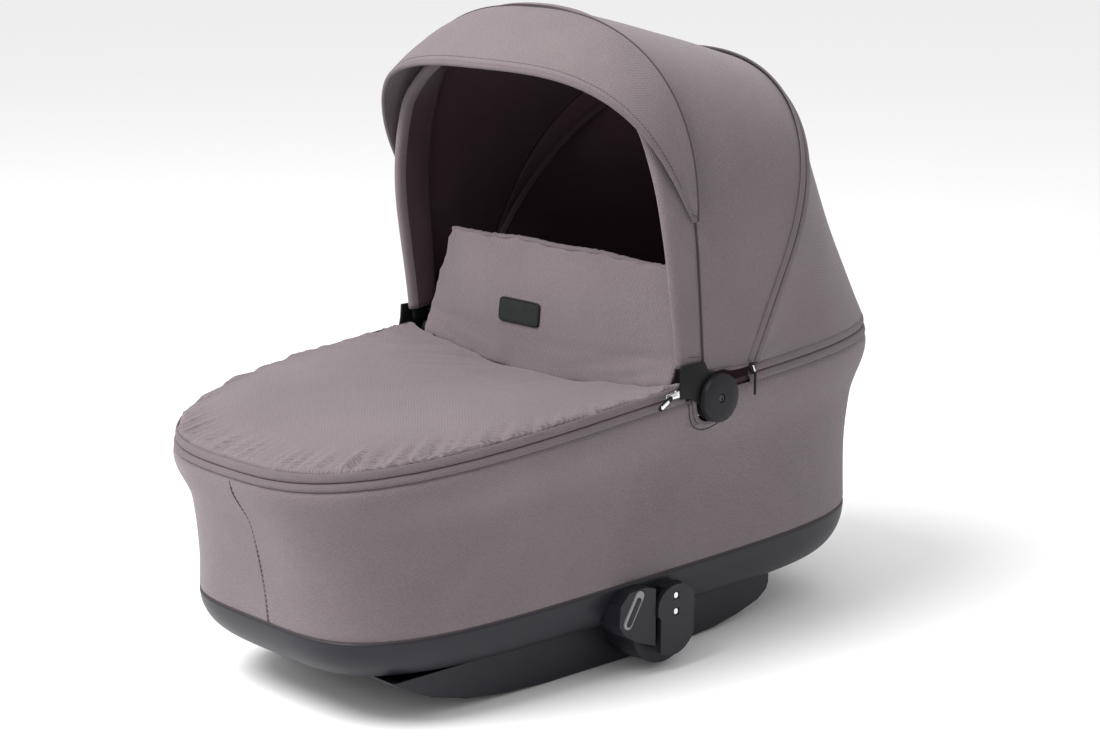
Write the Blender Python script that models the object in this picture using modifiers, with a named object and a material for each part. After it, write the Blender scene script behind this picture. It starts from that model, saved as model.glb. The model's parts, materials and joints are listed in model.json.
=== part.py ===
"""A pram carrycot: moulded base, soft tub, padded apron with wind flap, folding hood and two adapters.

Frame: +Z up, foot end towards -Y, head end towards +Y. The origin is on the ground, under the middle.
"""

import math

import bmesh
import bpy
from mathutils import Matrix, Vector

# ---- driving dimensions, in metres -------------------------------------------------------------
RIM_HALF_LENGTH, RIM_HALF_WIDTH, RIM_POWER = 0.385, 0.207, 3.0
BASE_HALF_LENGTH, BASE_HALF_WIDTH, BASE_POWER = 0.358, 0.173, 4.2
RIM_HEIGHT, RIM_SLOPE, RIM_BOW = 0.283, 0.075, -0.10
BASE_HEIGHT, BASE_SLOPE = 0.096, 0.018
FLARE_POWER = 2.0
OVERHANG, OVERHANG_FROM = 0.007, 0.62

BASE_FLOOR, BASE_INSET, BASE_WALL = 0.046, 0.037, 0.003
TRAY_HALF_WIDTH, TRAY_TOP, TRAY_WALL = 0.1345, 0.0455, 0.003
TRAY_FOOT, TRAY_HEAD = -0.300, 0.207

FABRIC = 0.002
SEAM_GAP = 0.0005
RIM_TUBE_RADIUS, RIM_TUBE_LEVEL, RIM_TUBE_INSET = 0.006, 0.872, 0.0095
PANEL_TOP = 0.78
COVER_TOP = 0.955

HUB_Y, HUB_Z = 0.040, 0.275
PIN_RADIUS, PIN_HOLE = 0.004, 0.0043
HUB_RADIUS = 0.024
HUB_NOTCH = 0.031

ARCH_HALF_WIDTH, ARCH_RISE, ARCH_SHOULDER, ARCH_POWER = 0.208, 0.248, 0.12, 2.4
HOOD_HEM, TUCK_FROM = 0.052, 0.36
FRONT_BOW_ANGLE, REAR_BOW_ANGLE = 97.0, 54.0
FRONT_BOW_WIDTH, FRONT_BOW_THICKNESS, FRONT_BOW_INSET = 0.026, 0.0045, 0.0102
FRONT_BOW_LEAD, FRONT_BOW_LEAD_TOP = 0.030, 0.012
REAR_BOW_RADIUS, REAR_BOW_INSET = 0.004, 0.023

VISOR_TIP_Y, VISOR_TIP_Z = 0.017, 0.452
VISOR_HALF_WIDTH, VISOR_REACH, VISOR_ANGLE, VISOR_POWER = 0.2155, 0.173, 127.0, 2.6

APRON_REAR, APRON_CROWN, APRON_SAG = 0.0, 0.010, -0.024
FLAP_AXIS_Y, FLAP_AXIS_Z, FLAP_TOP, FLAP_HALF_WIDTH = 0.004, 0.300, 0.402, 0.184

APRON_PULL_LEAN = math.radians(60)

ADAPTER_Y, ADAPTER_Z, ADAPTER_RADIUS = 0.006, 0.047, 0.042
PLATE_RADIUS = 0.031
BUTTON_HOUSING_OUTER = 0.1885
HOUSING_OUTLINE = ((-0.0165, 0.030), (-0.0165, 0.0885), (-0.0300, 0.0925), (-0.0520, 0.0915),
                   (-0.0640, 0.0800), (-0.0655, 0.0600), (-0.0580, 0.0500), (-0.0430, 0.0400))
BODY_OUTER, NECK_OUTER, PLATE_OUTER = 0.176, 0.1857, 0.191
TRAY_GAP = 0.0006
PIN_LEVELS = (0.0600, 0.0765)

RING_STEPS, ARCH_STEPS = 56, 24
RIGHT, LEFT = 1, -1


# ---- scene and materials -----------------------------------------------------------------------
def clear_scene():
    for obj in list(bpy.data.objects):
        bpy.data.objects.remove(obj, do_unlink=True)


def new_collection(name):
    made = bpy.data.collections.new(name)
    bpy.context.scene.collection.children.link(made)
    return made


clear_scene()
PARTS = new_collection("carrycot")
CUTTERS = new_collection("cutters")
BODIES = {}


def material(name, colour, roughness, metallic=0.0):
    made = bpy.data.materials.new(name)
    made.use_nodes = True
    shader = made.node_tree.nodes["Principled BSDF"]
    shader.inputs["Base Color"].default_value = (*colour, 1.0)
    shader.inputs["Roughness"].default_value = roughness
    shader.inputs["Metallic"].default_value = metallic
    return made


TAUPE = material("taupe_fabric", (0.23, 0.195, 0.20), 0.85)
LINING = material("dark_lining", (0.012, 0.009, 0.011), 0.9)
SHELL = material("charcoal_plastic", (0.035, 0.035, 0.042), 0.5)
BLACK = material("black_plastic", (0.02, 0.02, 0.022), 0.45)
GREY = material("grey_plastic", (0.28, 0.28, 0.29), 0.4)
STEEL = material("steel", (0.6, 0.6, 0.62), 0.25, 1.0)
ALUMINIUM = material("aluminium", (0.7, 0.7, 0.72), 0.35, 1.0)
FOAM = material("foam", (0.8, 0.79, 0.76), 0.9)
BOARD = material("board", (0.5, 0.5, 0.5), 0.7)


def body(name, location):
    """An empty on a moving body's joint axis. Its pieces are parented to it."""
    made = bpy.data.objects.new(name + "_axis", None)
    made.location = location
    PARTS.objects.link(made)
    BODIES[name] = made
    return made


def place(obj, name, finish, owner=None, smooth=True):
    """Names a piece, gives it its material and moves it to the parts, under its body's empty."""
    obj.name = name
    obj.data.name = name
    obj.data.materials.clear()
    obj.data.materials.append(finish)
    for holder in list(obj.users_collection):
        holder.objects.unlink(obj)
    PARTS.objects.link(obj)
    if owner:
        obj.parent = BODIES[owner]
        obj.matrix_parent_inverse = Matrix.Translation(-BODIES[owner].location)
    if smooth and obj.type == "MESH":
        obj.data.shade_smooth()
        obj.data.set_sharp_from_angle(angle=math.radians(40))
    return obj


# ---- shapes ------------------------------------------------------------------------------------
def mesh_object(name, points, faces):
    data = bpy.data.meshes.new(name)
    data.from_pydata([tuple(p) for p in points], [], faces)
    data.validate()
    made = bpy.data.objects.new(name, data)
    PARTS.objects.link(made)
    return made


def grid_faces(rows, columns, cyclic):
    """Quads of a grid of points stored row by row. A cyclic grid closes along its rows."""
    faces = []
    for row in range(rows - 1):
        for column in range(columns if cyclic else columns - 1):
            following = (column + 1) % columns
            faces.append((row * columns + column, row * columns + following,
                          (row + 1) * columns + following, (row + 1) * columns + column))
    return faces


def thicken(obj, thickness, offset=0.0):
    made = obj.modifiers.new("thickness", "SOLIDIFY")
    made.thickness = thickness
    made.offset = offset
    made.use_even_offset = True
    return obj


def sheet(name, rows, thickness, cyclic=False, floor=False):
    """A lofted surface through rows of points, thickened evenly to both sides. floor closes the last row."""
    columns = len(rows[0])
    faces = grid_faces(len(rows), columns, cyclic)
    if floor:
        first = (len(rows) - 1) * columns
        faces.append(tuple(range(first, first + columns)))
    obj = mesh_object(name, [p for row in rows for p in row], faces)
    return thicken(obj, thickness)


def closed_loft(name, rings):
    """A solid through closed rings of points, capped at both ends."""
    columns = len(rings[0])
    faces = grid_faces(len(rings), columns, True)
    faces.append(tuple(reversed(range(columns))))
    last = (len(rings) - 1) * columns
    faces.append(tuple(range(last, last + columns)))
    obj = mesh_object(name, [p for ring in rings for p in ring], faces)
    edit = bmesh.new()
    edit.from_mesh(obj.data)
    bmesh.ops.recalc_face_normals(edit, faces=edit.faces)
    edit.to_mesh(obj.data)
    edit.free()
    return obj


def tube(name, points, radius, cyclic=False, resolution=1):
    """A round tube along a list of points. Its sides are 4 plus twice the resolution."""
    data = bpy.data.curves.new(name, "CURVE")
    data.dimensions = "3D"
    data.bevel_depth = radius
    data.bevel_resolution = resolution
    data.use_fill_caps = not cyclic
    spline = data.splines.new("POLY")
    spline.points.add(len(points) - 1)
    for point, place_at in zip(spline.points, points):
        point.co = (*place_at, 1.0)
    spline.use_cyclic_u = cyclic
    made = bpy.data.objects.new(name, data)
    PARTS.objects.link(made)
    return made


def as_mesh(obj):
    """The curve as a mesh with its caps welded, so that it can be cut or joined."""
    graph = bpy.context.evaluated_depsgraph_get()
    data = bpy.data.meshes.new_from_object(obj.evaluated_get(graph))
    made = bpy.data.objects.new(obj.name, data)
    made.matrix_world = obj.matrix_world
    PARTS.objects.link(made)
    bpy.data.objects.remove(obj)
    edit = bmesh.new()
    edit.from_mesh(data)
    bmesh.ops.remove_doubles(edit, verts=edit.verts, dist=1e-6)
    bmesh.ops.recalc_face_normals(edit, faces=edit.faces)
    edit.to_mesh(data)
    edit.free()
    return made


def slab(name, outline, x_low, x_high, bevel=0.0, holes=()):
    """A plate across X: a closed outline of (y, z) points from x_low to x_high, with optional holes."""
    data = bpy.data.curves.new(name, "CURVE")
    data.dimensions = "2D"
    data.fill_mode = "BOTH"
    data.extrude = (x_high - x_low) / 2
    for loop in (outline, *holes):
        spline = data.splines.new("POLY")
        spline.points.add(len(loop) - 1)
        for point, (y, z) in zip(spline.points, loop):
            point.co = (y, z, 0.0, 1.0)
        spline.use_cyclic_u = True
    made = bpy.data.objects.new(name, data)
    # The curve's own X, Y and Z become the row's Y, Z and X.
    made.matrix_world = Matrix(((0, 0, 1, (x_low + x_high) / 2), (1, 0, 0, 0), (0, 1, 0, 0), (0, 0, 0, 1)))
    PARTS.objects.link(made)
    bpy.context.view_layer.update()
    made = as_mesh(made)
    if bevel:
        round_edges(made, bevel)
    return made


def round_edges(obj, width, segments=2, angle=50.0):
    made = obj.modifiers.new("rounding", "BEVEL")
    made.width = width
    made.segments = segments
    made.limit_method = "ANGLE"
    made.angle_limit = math.radians(angle)
    return obj


def cylinder(radius, low, high, y=HUB_Y, z=HUB_Z, vertices=32):
    """A cylinder along X, from x = low to x = high."""
    bpy.ops.mesh.primitive_cylinder_add(vertices=vertices, radius=radius, depth=abs(high - low),
                                        location=((low + high) / 2, y, z), rotation=(0, math.pi / 2, 0))
    return bpy.context.object


def box(low, high):
    size = [b - a for a, b in zip(low, high)]
    middle = [(a + b) / 2 for a, b in zip(low, high)]
    bpy.ops.mesh.primitive_cube_add(size=1, location=middle)
    made = bpy.context.object
    made.data.transform(Matrix.Diagonal((*size, 1)))
    return made


def combine(obj, other, operation):
    """Cuts other from obj, or joins it on. other becomes a hidden helper."""
    other.hide_render = True
    other.display_type = "WIRE"
    for holder in list(other.users_collection):
        holder.objects.unlink(other)
    CUTTERS.objects.link(other)
    made = obj.modifiers.new(operation.lower(), "BOOLEAN")
    made.operation = operation
    made.solver = "EXACT"
    made.object = other
    return obj


def span(side, low, high):
    """An x range on one side of the object, as (lowest, highest)."""
    return sorted((side * low, side * high))


# ---- the tub's walls ---------------------------------------------------------------------------
def power_curve(angle, half_x, half_y, power):
    """A point of a superellipse."""
    c, s = math.cos(angle), math.sin(angle)
    return (half_x * math.copysign(abs(c) ** (2 / power), c),
            half_y * math.copysign(abs(s) ** (2 / power), s))


def rim_height(y):
    return RIM_HEIGHT + RIM_SLOPE * y + RIM_BOW * y * y


def base_height(y):
    return BASE_HEIGHT + BASE_SLOPE * y


def wall_point(angle, level, inset):
    """A point of the tub's wall: level runs from 0 at the base to 1 at the rim, inset is inwards."""
    flare = level ** FLARE_POWER
    lip = max(0.0, (level - OVERHANG_FROM) / (1 - OVERHANG_FROM))
    overhang = OVERHANG * math.sin(math.pi * lip ** 1.6)
    half_x = BASE_HALF_WIDTH + (RIM_HALF_WIDTH - BASE_HALF_WIDTH) * flare + overhang - inset
    half_y = BASE_HALF_LENGTH + (RIM_HALF_LENGTH - BASE_HALF_LENGTH) * flare + overhang - inset
    power = BASE_POWER + (RIM_POWER - BASE_POWER) * level
    x, y = power_curve(angle, half_x, half_y, power)
    return Vector((x, y, base_height(y) * (1 - level) + rim_height(y) * level))


def rim_point(angle, rise, inset):
    """A point on the rim line, raised by rise."""
    x, y = power_curve(angle, RIM_HALF_WIDTH - inset, RIM_HALF_LENGTH - inset, RIM_POWER)
    return Vector((x, y, rim_height(y) + rise))


def rim_angle(y):
    """The angle at which the right-hand side of the rim line passes y."""
    share = abs(y) / RIM_HALF_LENGTH
    return math.copysign(math.asin(share ** (RIM_POWER / 2)), y)


def steps(low, high, count):
    return [low + (high - low) * i / count for i in range(count + 1)]


def turns(count):
    return [math.tau * i / count for i in range(count)]


def make_walls():
    """The outer cover, its zip tapes, the four stiffening panels and the inner liner."""
    levels = [0.0, 0.2, 0.4, 0.6, 0.74, 0.84, 0.91, COVER_TOP]
    cover = sheet("outer_cover", [[wall_point(a, level, FABRIC / 2) for a in turns(RING_STEPS)]
                                  for level in levels], FABRIC, cyclic=True)
    notch = cylinder(HUB_NOTCH, -0.25, 0.25)
    combine(cover, notch, "DIFFERENCE")
    place(cover, "outer_cover", TAUPE)

    tape_levels = [COVER_TOP + 0.0025, 0.978, 0.998]
    front_end, rear_end = rim_angle(0.002), rim_angle(0.090)
    for name, first, last in (("zip_tape_front", -math.pi - front_end, front_end),
                              ("zip_tape_rear", rear_end, math.pi - rear_end)):
        rows = [[wall_point(a, level, FABRIC / 2) for a in steps(first, last, 36)] for level in tape_levels]
        place(sheet(name, rows, FABRIC), name, TAUPE)

    corner, gap = math.radians(40), math.radians(0.35)
    panels = {"side_panel_right": (-corner, corner, 12), "side_panel_head": (corner, math.pi - corner, 18),
              "side_panel_left": (math.pi - corner, math.pi + corner, 12),
              "side_panel_foot": (math.pi + corner, math.tau - corner, 18)}
    for name, (first, last, count) in panels.items():
        rows = [[wall_point(a, level, 0.0068) for a in steps(first + gap, last - gap, count)]
                for level in (0.03, 0.3, 0.55, PANEL_TOP)]
        place(sheet(name, rows, 0.003), name, BOARD)


def base_point(angle, turn, inset=0.0):
    """A point of the moulded base's outer face: turn runs from 0 at its edge to 90 degrees at its floor."""
    shrink = BASE_INSET * (1 - math.cos(turn)) + inset
    gap = SEAM_GAP + shrink
    x, y = power_curve(angle, BASE_HALF_WIDTH - gap, BASE_HALF_LENGTH - gap, BASE_POWER)
    edge = base_height(y) - SEAM_GAP
    return Vector((x, y, edge - (edge - BASE_FLOOR - inset) * math.sin(turn)))


BASE_TURNS = [math.radians(a) for a in (0, 22, 42, 58, 74, 90)]


def make_base():
    """The moulded pan that the tub stands on, and the lower tray that carries the adapters."""
    rows = [[base_point(a, turn, BASE_WALL / 2) for a in turns(RING_STEPS)] for turn in BASE_TURNS]
    place(sheet("base_shell", rows, BASE_WALL, cyclic=True, floor=True), "base_shell", SHELL)

    half = TRAY_HALF_WIDTH
    keel = [(TRAY_FOOT, TRAY_TOP), (TRAY_FOOT, 0.0430), (-0.285, 0.0355), (-0.252, 0.0205), (-0.212, 0.0095),
            (-0.165, 0.0028),
            (-0.115, 0.0), (0.085, 0.0), (0.125, 0.0030), (0.160, 0.0095), (0.190, 0.0180), (0.2035, 0.0270),
            (TRAY_HEAD, 0.0345), (TRAY_HEAD, TRAY_TOP)]
    points = [Vector((side * half, y, z)) for side in (RIGHT, LEFT) for y, z in keel]
    count = len(keel)
    faces = [(i, count + i, count + i + 1, i + 1) for i in range(count - 1)]
    faces += [tuple(range(count)), tuple(reversed(range(count, 2 * count)))]
    tray = mesh_object("carrier_tray", points, faces)
    round_edges(tray, 0.016, 3, 60.0)
    thicken(tray, TRAY_WALL, -1.0)
    place(tray, "carrier_tray", SHELL)


def make_tray_screws():
    """Four pan-head screws that hold the tray to the base, seen from below."""
    spots = [(x, y) for y in (-0.14, 0.10) for x in (-0.085, 0.085)]
    for number, (x, y) in enumerate(spots, start=1):
        bpy.ops.mesh.primitive_cylinder_add(vertices=16, radius=0.0045, depth=0.0025,
                                            location=(x, y, TRAY_WALL + 0.0025 + 0.0003 + 0.004))
        screw = bpy.context.object
        shank = upright_bar((x, y, 0.0085), (x, y, BASE_FLOOR - 0.0006), 0.002)
        combine(screw, shank, "UNION")
        place(screw, f"tray_screw_{number}", STEEL)


def upright_bar(low, high, radius):
    """A plain round bar between two points on one vertical line, for use in a Boolean."""
    bpy.ops.mesh.primitive_cylinder_add(vertices=12, radius=radius, depth=high[2] - low[2],
                                        location=[(a + b) / 2 for a, b in zip(low, high)])
    return bpy.context.object


def make_frame():
    """The aluminium rim tube and the two steel braces that hold it up."""
    rim = [wall_point(a, RIM_TUBE_LEVEL, RIM_TUBE_INSET) for a in turns(48)]
    place(tube("rim_frame", rim, RIM_TUBE_RADIUS, cyclic=True, resolution=2), "rim_frame", ALUMINIUM)
    for name, y in (("frame_brace_foot", -0.19), ("frame_brace_head", 0.21)):
        angle = math.copysign(math.asin((abs(y) / BASE_HALF_LENGTH) ** (BASE_POWER / 2)), y)
        side = [wall_point(angle, level, 0.0120) for level in (0.83, 0.7, 0.5, 0.3, 0.1)]
        middle = side[-1].y
        tuck = 0.0015 if y > 0 else 0.0
        foot = [Vector((x - tuck, middle, z)) for x, z in
                ((0.1605, 0.090), (0.1565, 0.073), (0.146, 0.0575), (0.128, 0.0525), (0.06, 0.0525))]
        right = side + foot
        left = [Vector((-p.x, p.y, p.z)) for p in reversed(right)]
        place(tube(name, right + left, 0.0025, resolution=1), name, STEEL)


def make_lining():
    """The inner liner, a fabric bowl, and the mattress that lies in it."""
    levels = (PANEL_TOP, 0.5, 0.25, 0.06)
    rows = [[wall_point(a, level, 0.0185) for a in turns(48)] for level in levels]
    for z, shrink in ((0.076, 0.022), (0.0615, 0.033), (0.057, 0.046)):
        half_x, half_y = BASE_HALF_WIDTH - shrink, BASE_HALF_LENGTH - shrink
        rows.append([Vector((*power_curve(a, half_x, half_y, BASE_POWER), z)) for a in turns(48)])
    place(sheet("inner_liner", rows, FABRIC, cyclic=True, floor=True), "inner_liner", LINING)

    outline = turns(36)
    half_x, half_y = 0.120, 0.305
    rings = [[Vector((*power_curve(a, half_x - cut, half_y - cut, 3.6), z)) for a in outline]
             for z, cut in ((0.0595, 0.006), (0.064, 0.0), (0.085, 0.0), (0.0895, 0.006))]
    place(closed_loft("mattress", rings), "mattress", FOAM)


# ---- the hood ----------------------------------------------------------------------------------
def arch_profile(inset, hem, count=ARCH_STEPS):
    """(x, height) along the hood's arch, right to left, from the hem up over the shoulders."""
    half, rise = ARCH_HALF_WIDTH - inset, ARCH_RISE - inset
    legs = [hem, hem + (ARCH_SHOULDER - hem) * 0.5]
    curve = []
    for angle in steps(0.0, math.pi, count):
        x, up = power_curve(angle, half, rise, ARCH_POWER)
        curve.append((x, ARCH_SHOULDER + max(up, 0.0)))
    return [(half, h) for h in legs] + curve + [(-half, h) for h in reversed(legs)]


def hood_point(x, height, degrees, forward=0.0):
    """A point at that height from the hub axis in the half-plane at that angle above +Y."""
    a = math.radians(degrees)
    return Vector((x, HUB_Y + height * math.cos(a) - forward * math.sin(a),
                   HUB_Z + height * math.sin(a) + forward * math.cos(a)))


def hood_strip(name, low, high, inset, count):
    """A fabric strip of the hood between two bow angles."""
    profile = arch_profile(inset, HOOD_HEM)
    rows = [[hood_point(x, h, degrees) for x, h in profile] for degrees in steps(low, high, count)]
    return sheet(name, rows, 0.0016)


def landing_scale(x, height):
    """How far an arch point's reach shrinks for it to come down on the rim line."""
    low, high = 0.5, 1.2
    for _ in range(40):
        middle = (low + high) / 2
        inside = (abs(x * middle) / (RIM_HALF_WIDTH - 0.001)) ** RIM_POWER \
            + (abs(HUB_Y + height * middle) / (RIM_HALF_LENGTH - 0.001)) ** RIM_POWER
        low, high = (middle, high) if inside < 1 else (low, middle)
    return low


def make_rear_panel():
    """The hood's fixed rear panel, from under the rear bow down to the rim."""
    columns = []
    for x, height in arch_profile(0.0008, HOOD_HEM):
        scale = landing_scale(x, height)
        ground = rim_height(HUB_Y + height * scale) + 0.0012
        last = math.degrees(math.asin((ground - HUB_Z) / (height * scale)))
        column = []
        for step in range(9):
            share = step / 8
            tuck = max(0.0, (share - TUCK_FROM) / (1 - TUCK_FROM))
            tuck = tuck * tuck * (3 - 2 * tuck)
            factor = 1 + (scale - 1) * tuck
            column.append(hood_point(x * factor, height * factor, 38 + (last - 38) * share))
        columns.append(column)
    rows = [list(row) for row in zip(*columns)]
    place(sheet("hood_rear_panel", rows, 0.0016), "hood_rear_panel", TAUPE)


def bow_lead(height):
    """How far the front bow stands forward of the plane through the hub axis, less towards its top."""
    return FRONT_BOW_LEAD + (FRONT_BOW_LEAD_TOP - FRONT_BOW_LEAD) * height / (ARCH_SHOULDER + ARCH_RISE)


def make_front_bow():
    """The moulded front bow, which is also the carrying handle, in its fabric sleeve."""
    body("front_bow", (0, HUB_Y, HUB_Z))
    eye = 0.2103
    arch = [(x, h, bow_lead(h)) for x, h in arch_profile(FRONT_BOW_INSET, 0.048)]
    foot = [(eye, 0.004, 0.0), (eye, 0.026, 0.010)]
    path = foot + arch + [(-x, h, forward) for x, h, forward in reversed(foot)]
    half = FRONT_BOW_WIDTH / 2
    rows = [[hood_point(x, h, FRONT_BOW_ANGLE, forward + w) for x, h, forward in path] for w in (-half, half)]
    bow = sheet("front_bow", rows, FRONT_BOW_THICKNESS)
    for side in (RIGHT, LEFT):
        low, high = span(side, 0.2076, 0.2127)
        combine(bow, cylinder(0.017, low, high), "UNION")
    combine(bow, cylinder(PIN_HOLE, -0.25, 0.25, vertices=24), "DIFFERENCE")
    place(bow, "front_bow", BLACK, "front_bow")

    outer, inner_inset, half = 0.0028, 0.0174, 0.0205
    loops = []
    for inset, w in ((outer, -half + 0.003), (outer, half - 0.003), (outer + 0.003, half),
                     (inner_inset - 0.003, half), (inner_inset, half - 0.003), (inner_inset, -half + 0.003),
                     (inner_inset - 0.003, -half), (outer + 0.003, -half)):
        loops.append([hood_point(x, h, FRONT_BOW_ANGLE, bow_lead(h) + w)
                      for x, h in arch_profile(inset, 0.055)])
    rows = [list(row) for row in zip(*loops)]
    place(sheet("front_sleeve", rows, 0.0012, cyclic=True), "front_sleeve", TAUPE, "front_bow")
    place(hood_strip("hood_panel_front", 63, 96.5, -0.006, 7), "hood_panel_front", TAUPE, "front_bow")


def make_rear_bow():
    """The thin rear bow with its end fittings, and the hood strip that it carries."""
    body("rear_bow", (0, HUB_Y, HUB_Z))
    profile = [(x, h) for x, h in arch_profile(REAR_BOW_INSET, 0.0305)]
    path = [hood_point(x, h, REAR_BOW_ANGLE) for x, h in profile]
    place(tube("rear_bow", path, REAR_BOW_RADIUS), "rear_bow", STEEL, "rear_bow")
    centre = ARCH_HALF_WIDTH - REAR_BOW_INSET
    for side, word in ((RIGHT, "right"), (LEFT, "left")):
        low, high = span(side, centre - 0.0025, centre + 0.0020)
        fitting = cylinder(0.011, low, high)
        strap = box((low, -0.006, 0.0), (high, 0.006, 0.030))
        turn = Matrix.Rotation(math.radians(REAR_BOW_ANGLE - 90), 4, "X")
        strap.data.transform(Matrix.Translation(strap.location))
        strap.location = (0, 0, 0)
        strap.data.transform(Matrix.Translation((0, HUB_Y, HUB_Z)) @ turn)
        combine(fitting, strap, "UNION")
        combine(fitting, cylinder(PIN_HOLE, low - 0.01, high + 0.01, vertices=24), "DIFFERENCE")
        place(fitting, f"rear_bow_end_{word}", BLACK, "rear_bow")
    place(hood_strip("hood_panel_rear", 36, 65, -0.0028, 6), "hood_panel_rear", TAUPE, "rear_bow")


def visor_edge(inset, count=ARCH_STEPS):
    """Points of the visor's free front edge, right to left."""
    a = math.radians(VISOR_ANGLE)
    points = []
    for angle in steps(0.0, math.pi, count):
        x, reach = power_curve(angle, VISOR_HALF_WIDTH - inset, VISOR_REACH - inset, VISOR_POWER)
        reach = max(reach, 0.0)
        points.append(Vector((x, VISOR_TIP_Y + reach * math.cos(a), VISOR_TIP_Z + reach * math.sin(a))))
    return points


def visor_seam(count=ARCH_STEPS):
    """Points of the visor's rear edge, which lies over the front of the hood."""
    clear, tip = 0.0150, 0.177
    points = []
    for angle in steps(0.0, math.pi, count):
        x, rise = power_curve(angle, ARCH_HALF_WIDTH + 0.0075, ARCH_SHOULDER + ARCH_RISE + clear - tip, 2.6)
        points.append(hood_point(x, tip + max(rise, 0.0), FRONT_BOW_ANGLE, 0.018))
    return points


def make_visor():
    """The sun visor: a sheet held out by a spring-steel edge wire."""
    seam, edge = visor_seam(), visor_edge(0.0)
    pairs = list(zip(seam[1:-1], edge[1:-1]))
    rows = [[a.lerp(b, share * (1 - 0.0042 / (b - a).length)) for a, b in pairs]
            for share in (0, 0.33, 0.66, 1)]
    place(sheet("visor_panel", rows, 0.0016), "visor_panel", TAUPE, "front_bow")
    place(tube("visor_wire", edge, 0.0016), "visor_wire", STEEL, "front_bow")


def make_hubs():
    """The hub on each side: a housing on the rim tube, a pin, and the round cover with its screw."""
    for side, word in ((RIGHT, "right"), (LEFT, "left")):
        low, high = span(side, 0.1885, 0.2062)
        housing = cylinder(0.022, low, high)
        rim = [wall_point(a, RIM_TUBE_LEVEL, RIM_TUBE_INSET) for a in turns(48)]
        groove = as_mesh(tube("rim_groove", rim, RIM_TUBE_RADIUS + 0.0005, cyclic=True, resolution=2))
        combine(housing, groove, "DIFFERENCE")
        combine(housing, cylinder(PIN_HOLE, low - 0.01, high + 0.01, vertices=24), "DIFFERENCE")
        place(housing, f"hub_housing_{word}", BLACK)

        low, high = span(side, 0.178, 0.2125)
        place(cylinder(PIN_RADIUS, low, high, vertices=24), f"hub_pin_{word}", STEEL)

        low, high = span(side, 0.2130, 0.2190)
        cover = cylinder(HUB_RADIUS, low, high, vertices=40)
        round_edges(cover, 0.0016)
        low, high = span(side, 0.2167, 0.2250)
        combine(cover, cylinder(0.0040, low, high, vertices=20), "DIFFERENCE")
        combine(cover, cylinder(0.0023, low - 0.01, high + 0.01, vertices=20), "DIFFERENCE")
        place(cover, f"hub_cover_{word}", SHELL, "front_bow")

        low, high = span(side, 0.2170, 0.2187)
        screw = cylinder(0.0036, low, high, vertices=20)
        low, high = span(side, 0.2129, 0.2175)
        combine(screw, cylinder(0.0019, low, high, vertices=12), "UNION")
        place(screw, f"hub_screw_{word}", STEEL, "front_bow")


# ---- the apron and its flap --------------------------------------------------------------------
def apron_half(y, inset):
    """Half width of the apron at a place along the tub."""
    share = abs(y) / (RIM_HALF_LENGTH - inset)
    return (RIM_HALF_WIDTH - inset) * (1 - share ** RIM_POWER) ** (1 / RIM_POWER)


def make_apron():
    """The padded apron that zips to the rim, with its own half of the zip.

    It is crowned at the foot, sags between the rails at the rear, and turns up there to meet the flap.
    """
    body("apron", (0, APRON_REAR, RIM_HEIGHT))
    edge_inset, thickness = 0.0034, 0.010
    half_length = RIM_HALF_LENGTH - edge_inset
    rows = []
    for step in range(13):
        y = -half_length + (APRON_REAR + half_length) * (1 - math.cos(math.pi / 2 * step / 12))
        y = max(y, -half_length + 0.0001)
        half = apron_half(y, edge_inset)
        rear = min(1.0, max(0.0, (y + 0.20) / 0.20))
        crown = APRON_CROWN * (1 - rear) + APRON_SAG * rear
        row = []
        for u in steps(-1.0, 1.0, 14):
            across = math.sin(u * math.pi / 2)
            swell = (1 - across * across) * min(1.0, (y + half_length) / 0.12)
            row.append(Vector((half * across, y, rim_height(y) + 0.0065 + crown * swell)))
        rows.append(row)
    for share, y in ((0.30, 0.0050), (0.70, 0.0095), (1.0, 0.0115)):
        half = apron_half(0.0, edge_inset)
        half += (FLAP_HALF_WIDTH - half) * share ** 0.5
        row = []
        for p in rows[12]:
            x = p.x * half / rows[12][14].x
            row.append(Vector((x, y, p.z + (FLAP_AXIS_Z - p.z) * share)))
        rows.append(row)
    place(sheet("apron_pad", rows, thickness), "apron_pad", TAUPE, "apron")

    end = rim_angle(0.002)
    tape = [[rim_point(a, rise, FABRIC / 2 - 0.0003) for a in steps(-math.pi - end, end, 36)]
            for rise in (0.0006, 0.0045, 0.0085)]
    place(sheet("apron_zip_tape", tape, 0.0016), "apron_zip_tape", TAUPE, "apron")


def make_flap():
    """The wind flap that stands up behind the apron, and the plain badge on it."""
    body("flap", (0, FLAP_AXIS_Y, FLAP_AXIS_Z))
    low = FLAP_AXIS_Z + 0.0065
    rows = []
    for share in steps(0.0, 1.0, 6):
        half = FLAP_HALF_WIDTH - 0.022 * share
        z = low + (FLAP_TOP - low) * share
        rows.append([Vector((half * u, 0.012 + 0.010 * share + 0.004 * u * u, z - 0.006 * share * u * u))
                     for u in steps(-1.0, 1.0, 12)])
    place(sheet("wind_flap", rows, 0.007), "wind_flap", TAUPE, "flap")
    badge = box((-0.031, -0.0015, -0.0125), (0.031, 0.0015, 0.0125))
    badge.location = (-0.034, 0.0080, 0.3275)
    badge.rotation_euler = (math.radians(-6), 0, 0)
    round_edges(badge, 0.0008, 1)
    place(badge, "flap_badge", BLACK, "flap")


# ---- zips --------------------------------------------------------------------------------------
def make_slider(name, middle, size, owner):
    half = Vector(size) / 2
    made = box(Vector(middle) - half, Vector(middle) + half)
    round_edges(made, 0.0012, 1)
    place(made, name, STEEL, owner)


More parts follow.
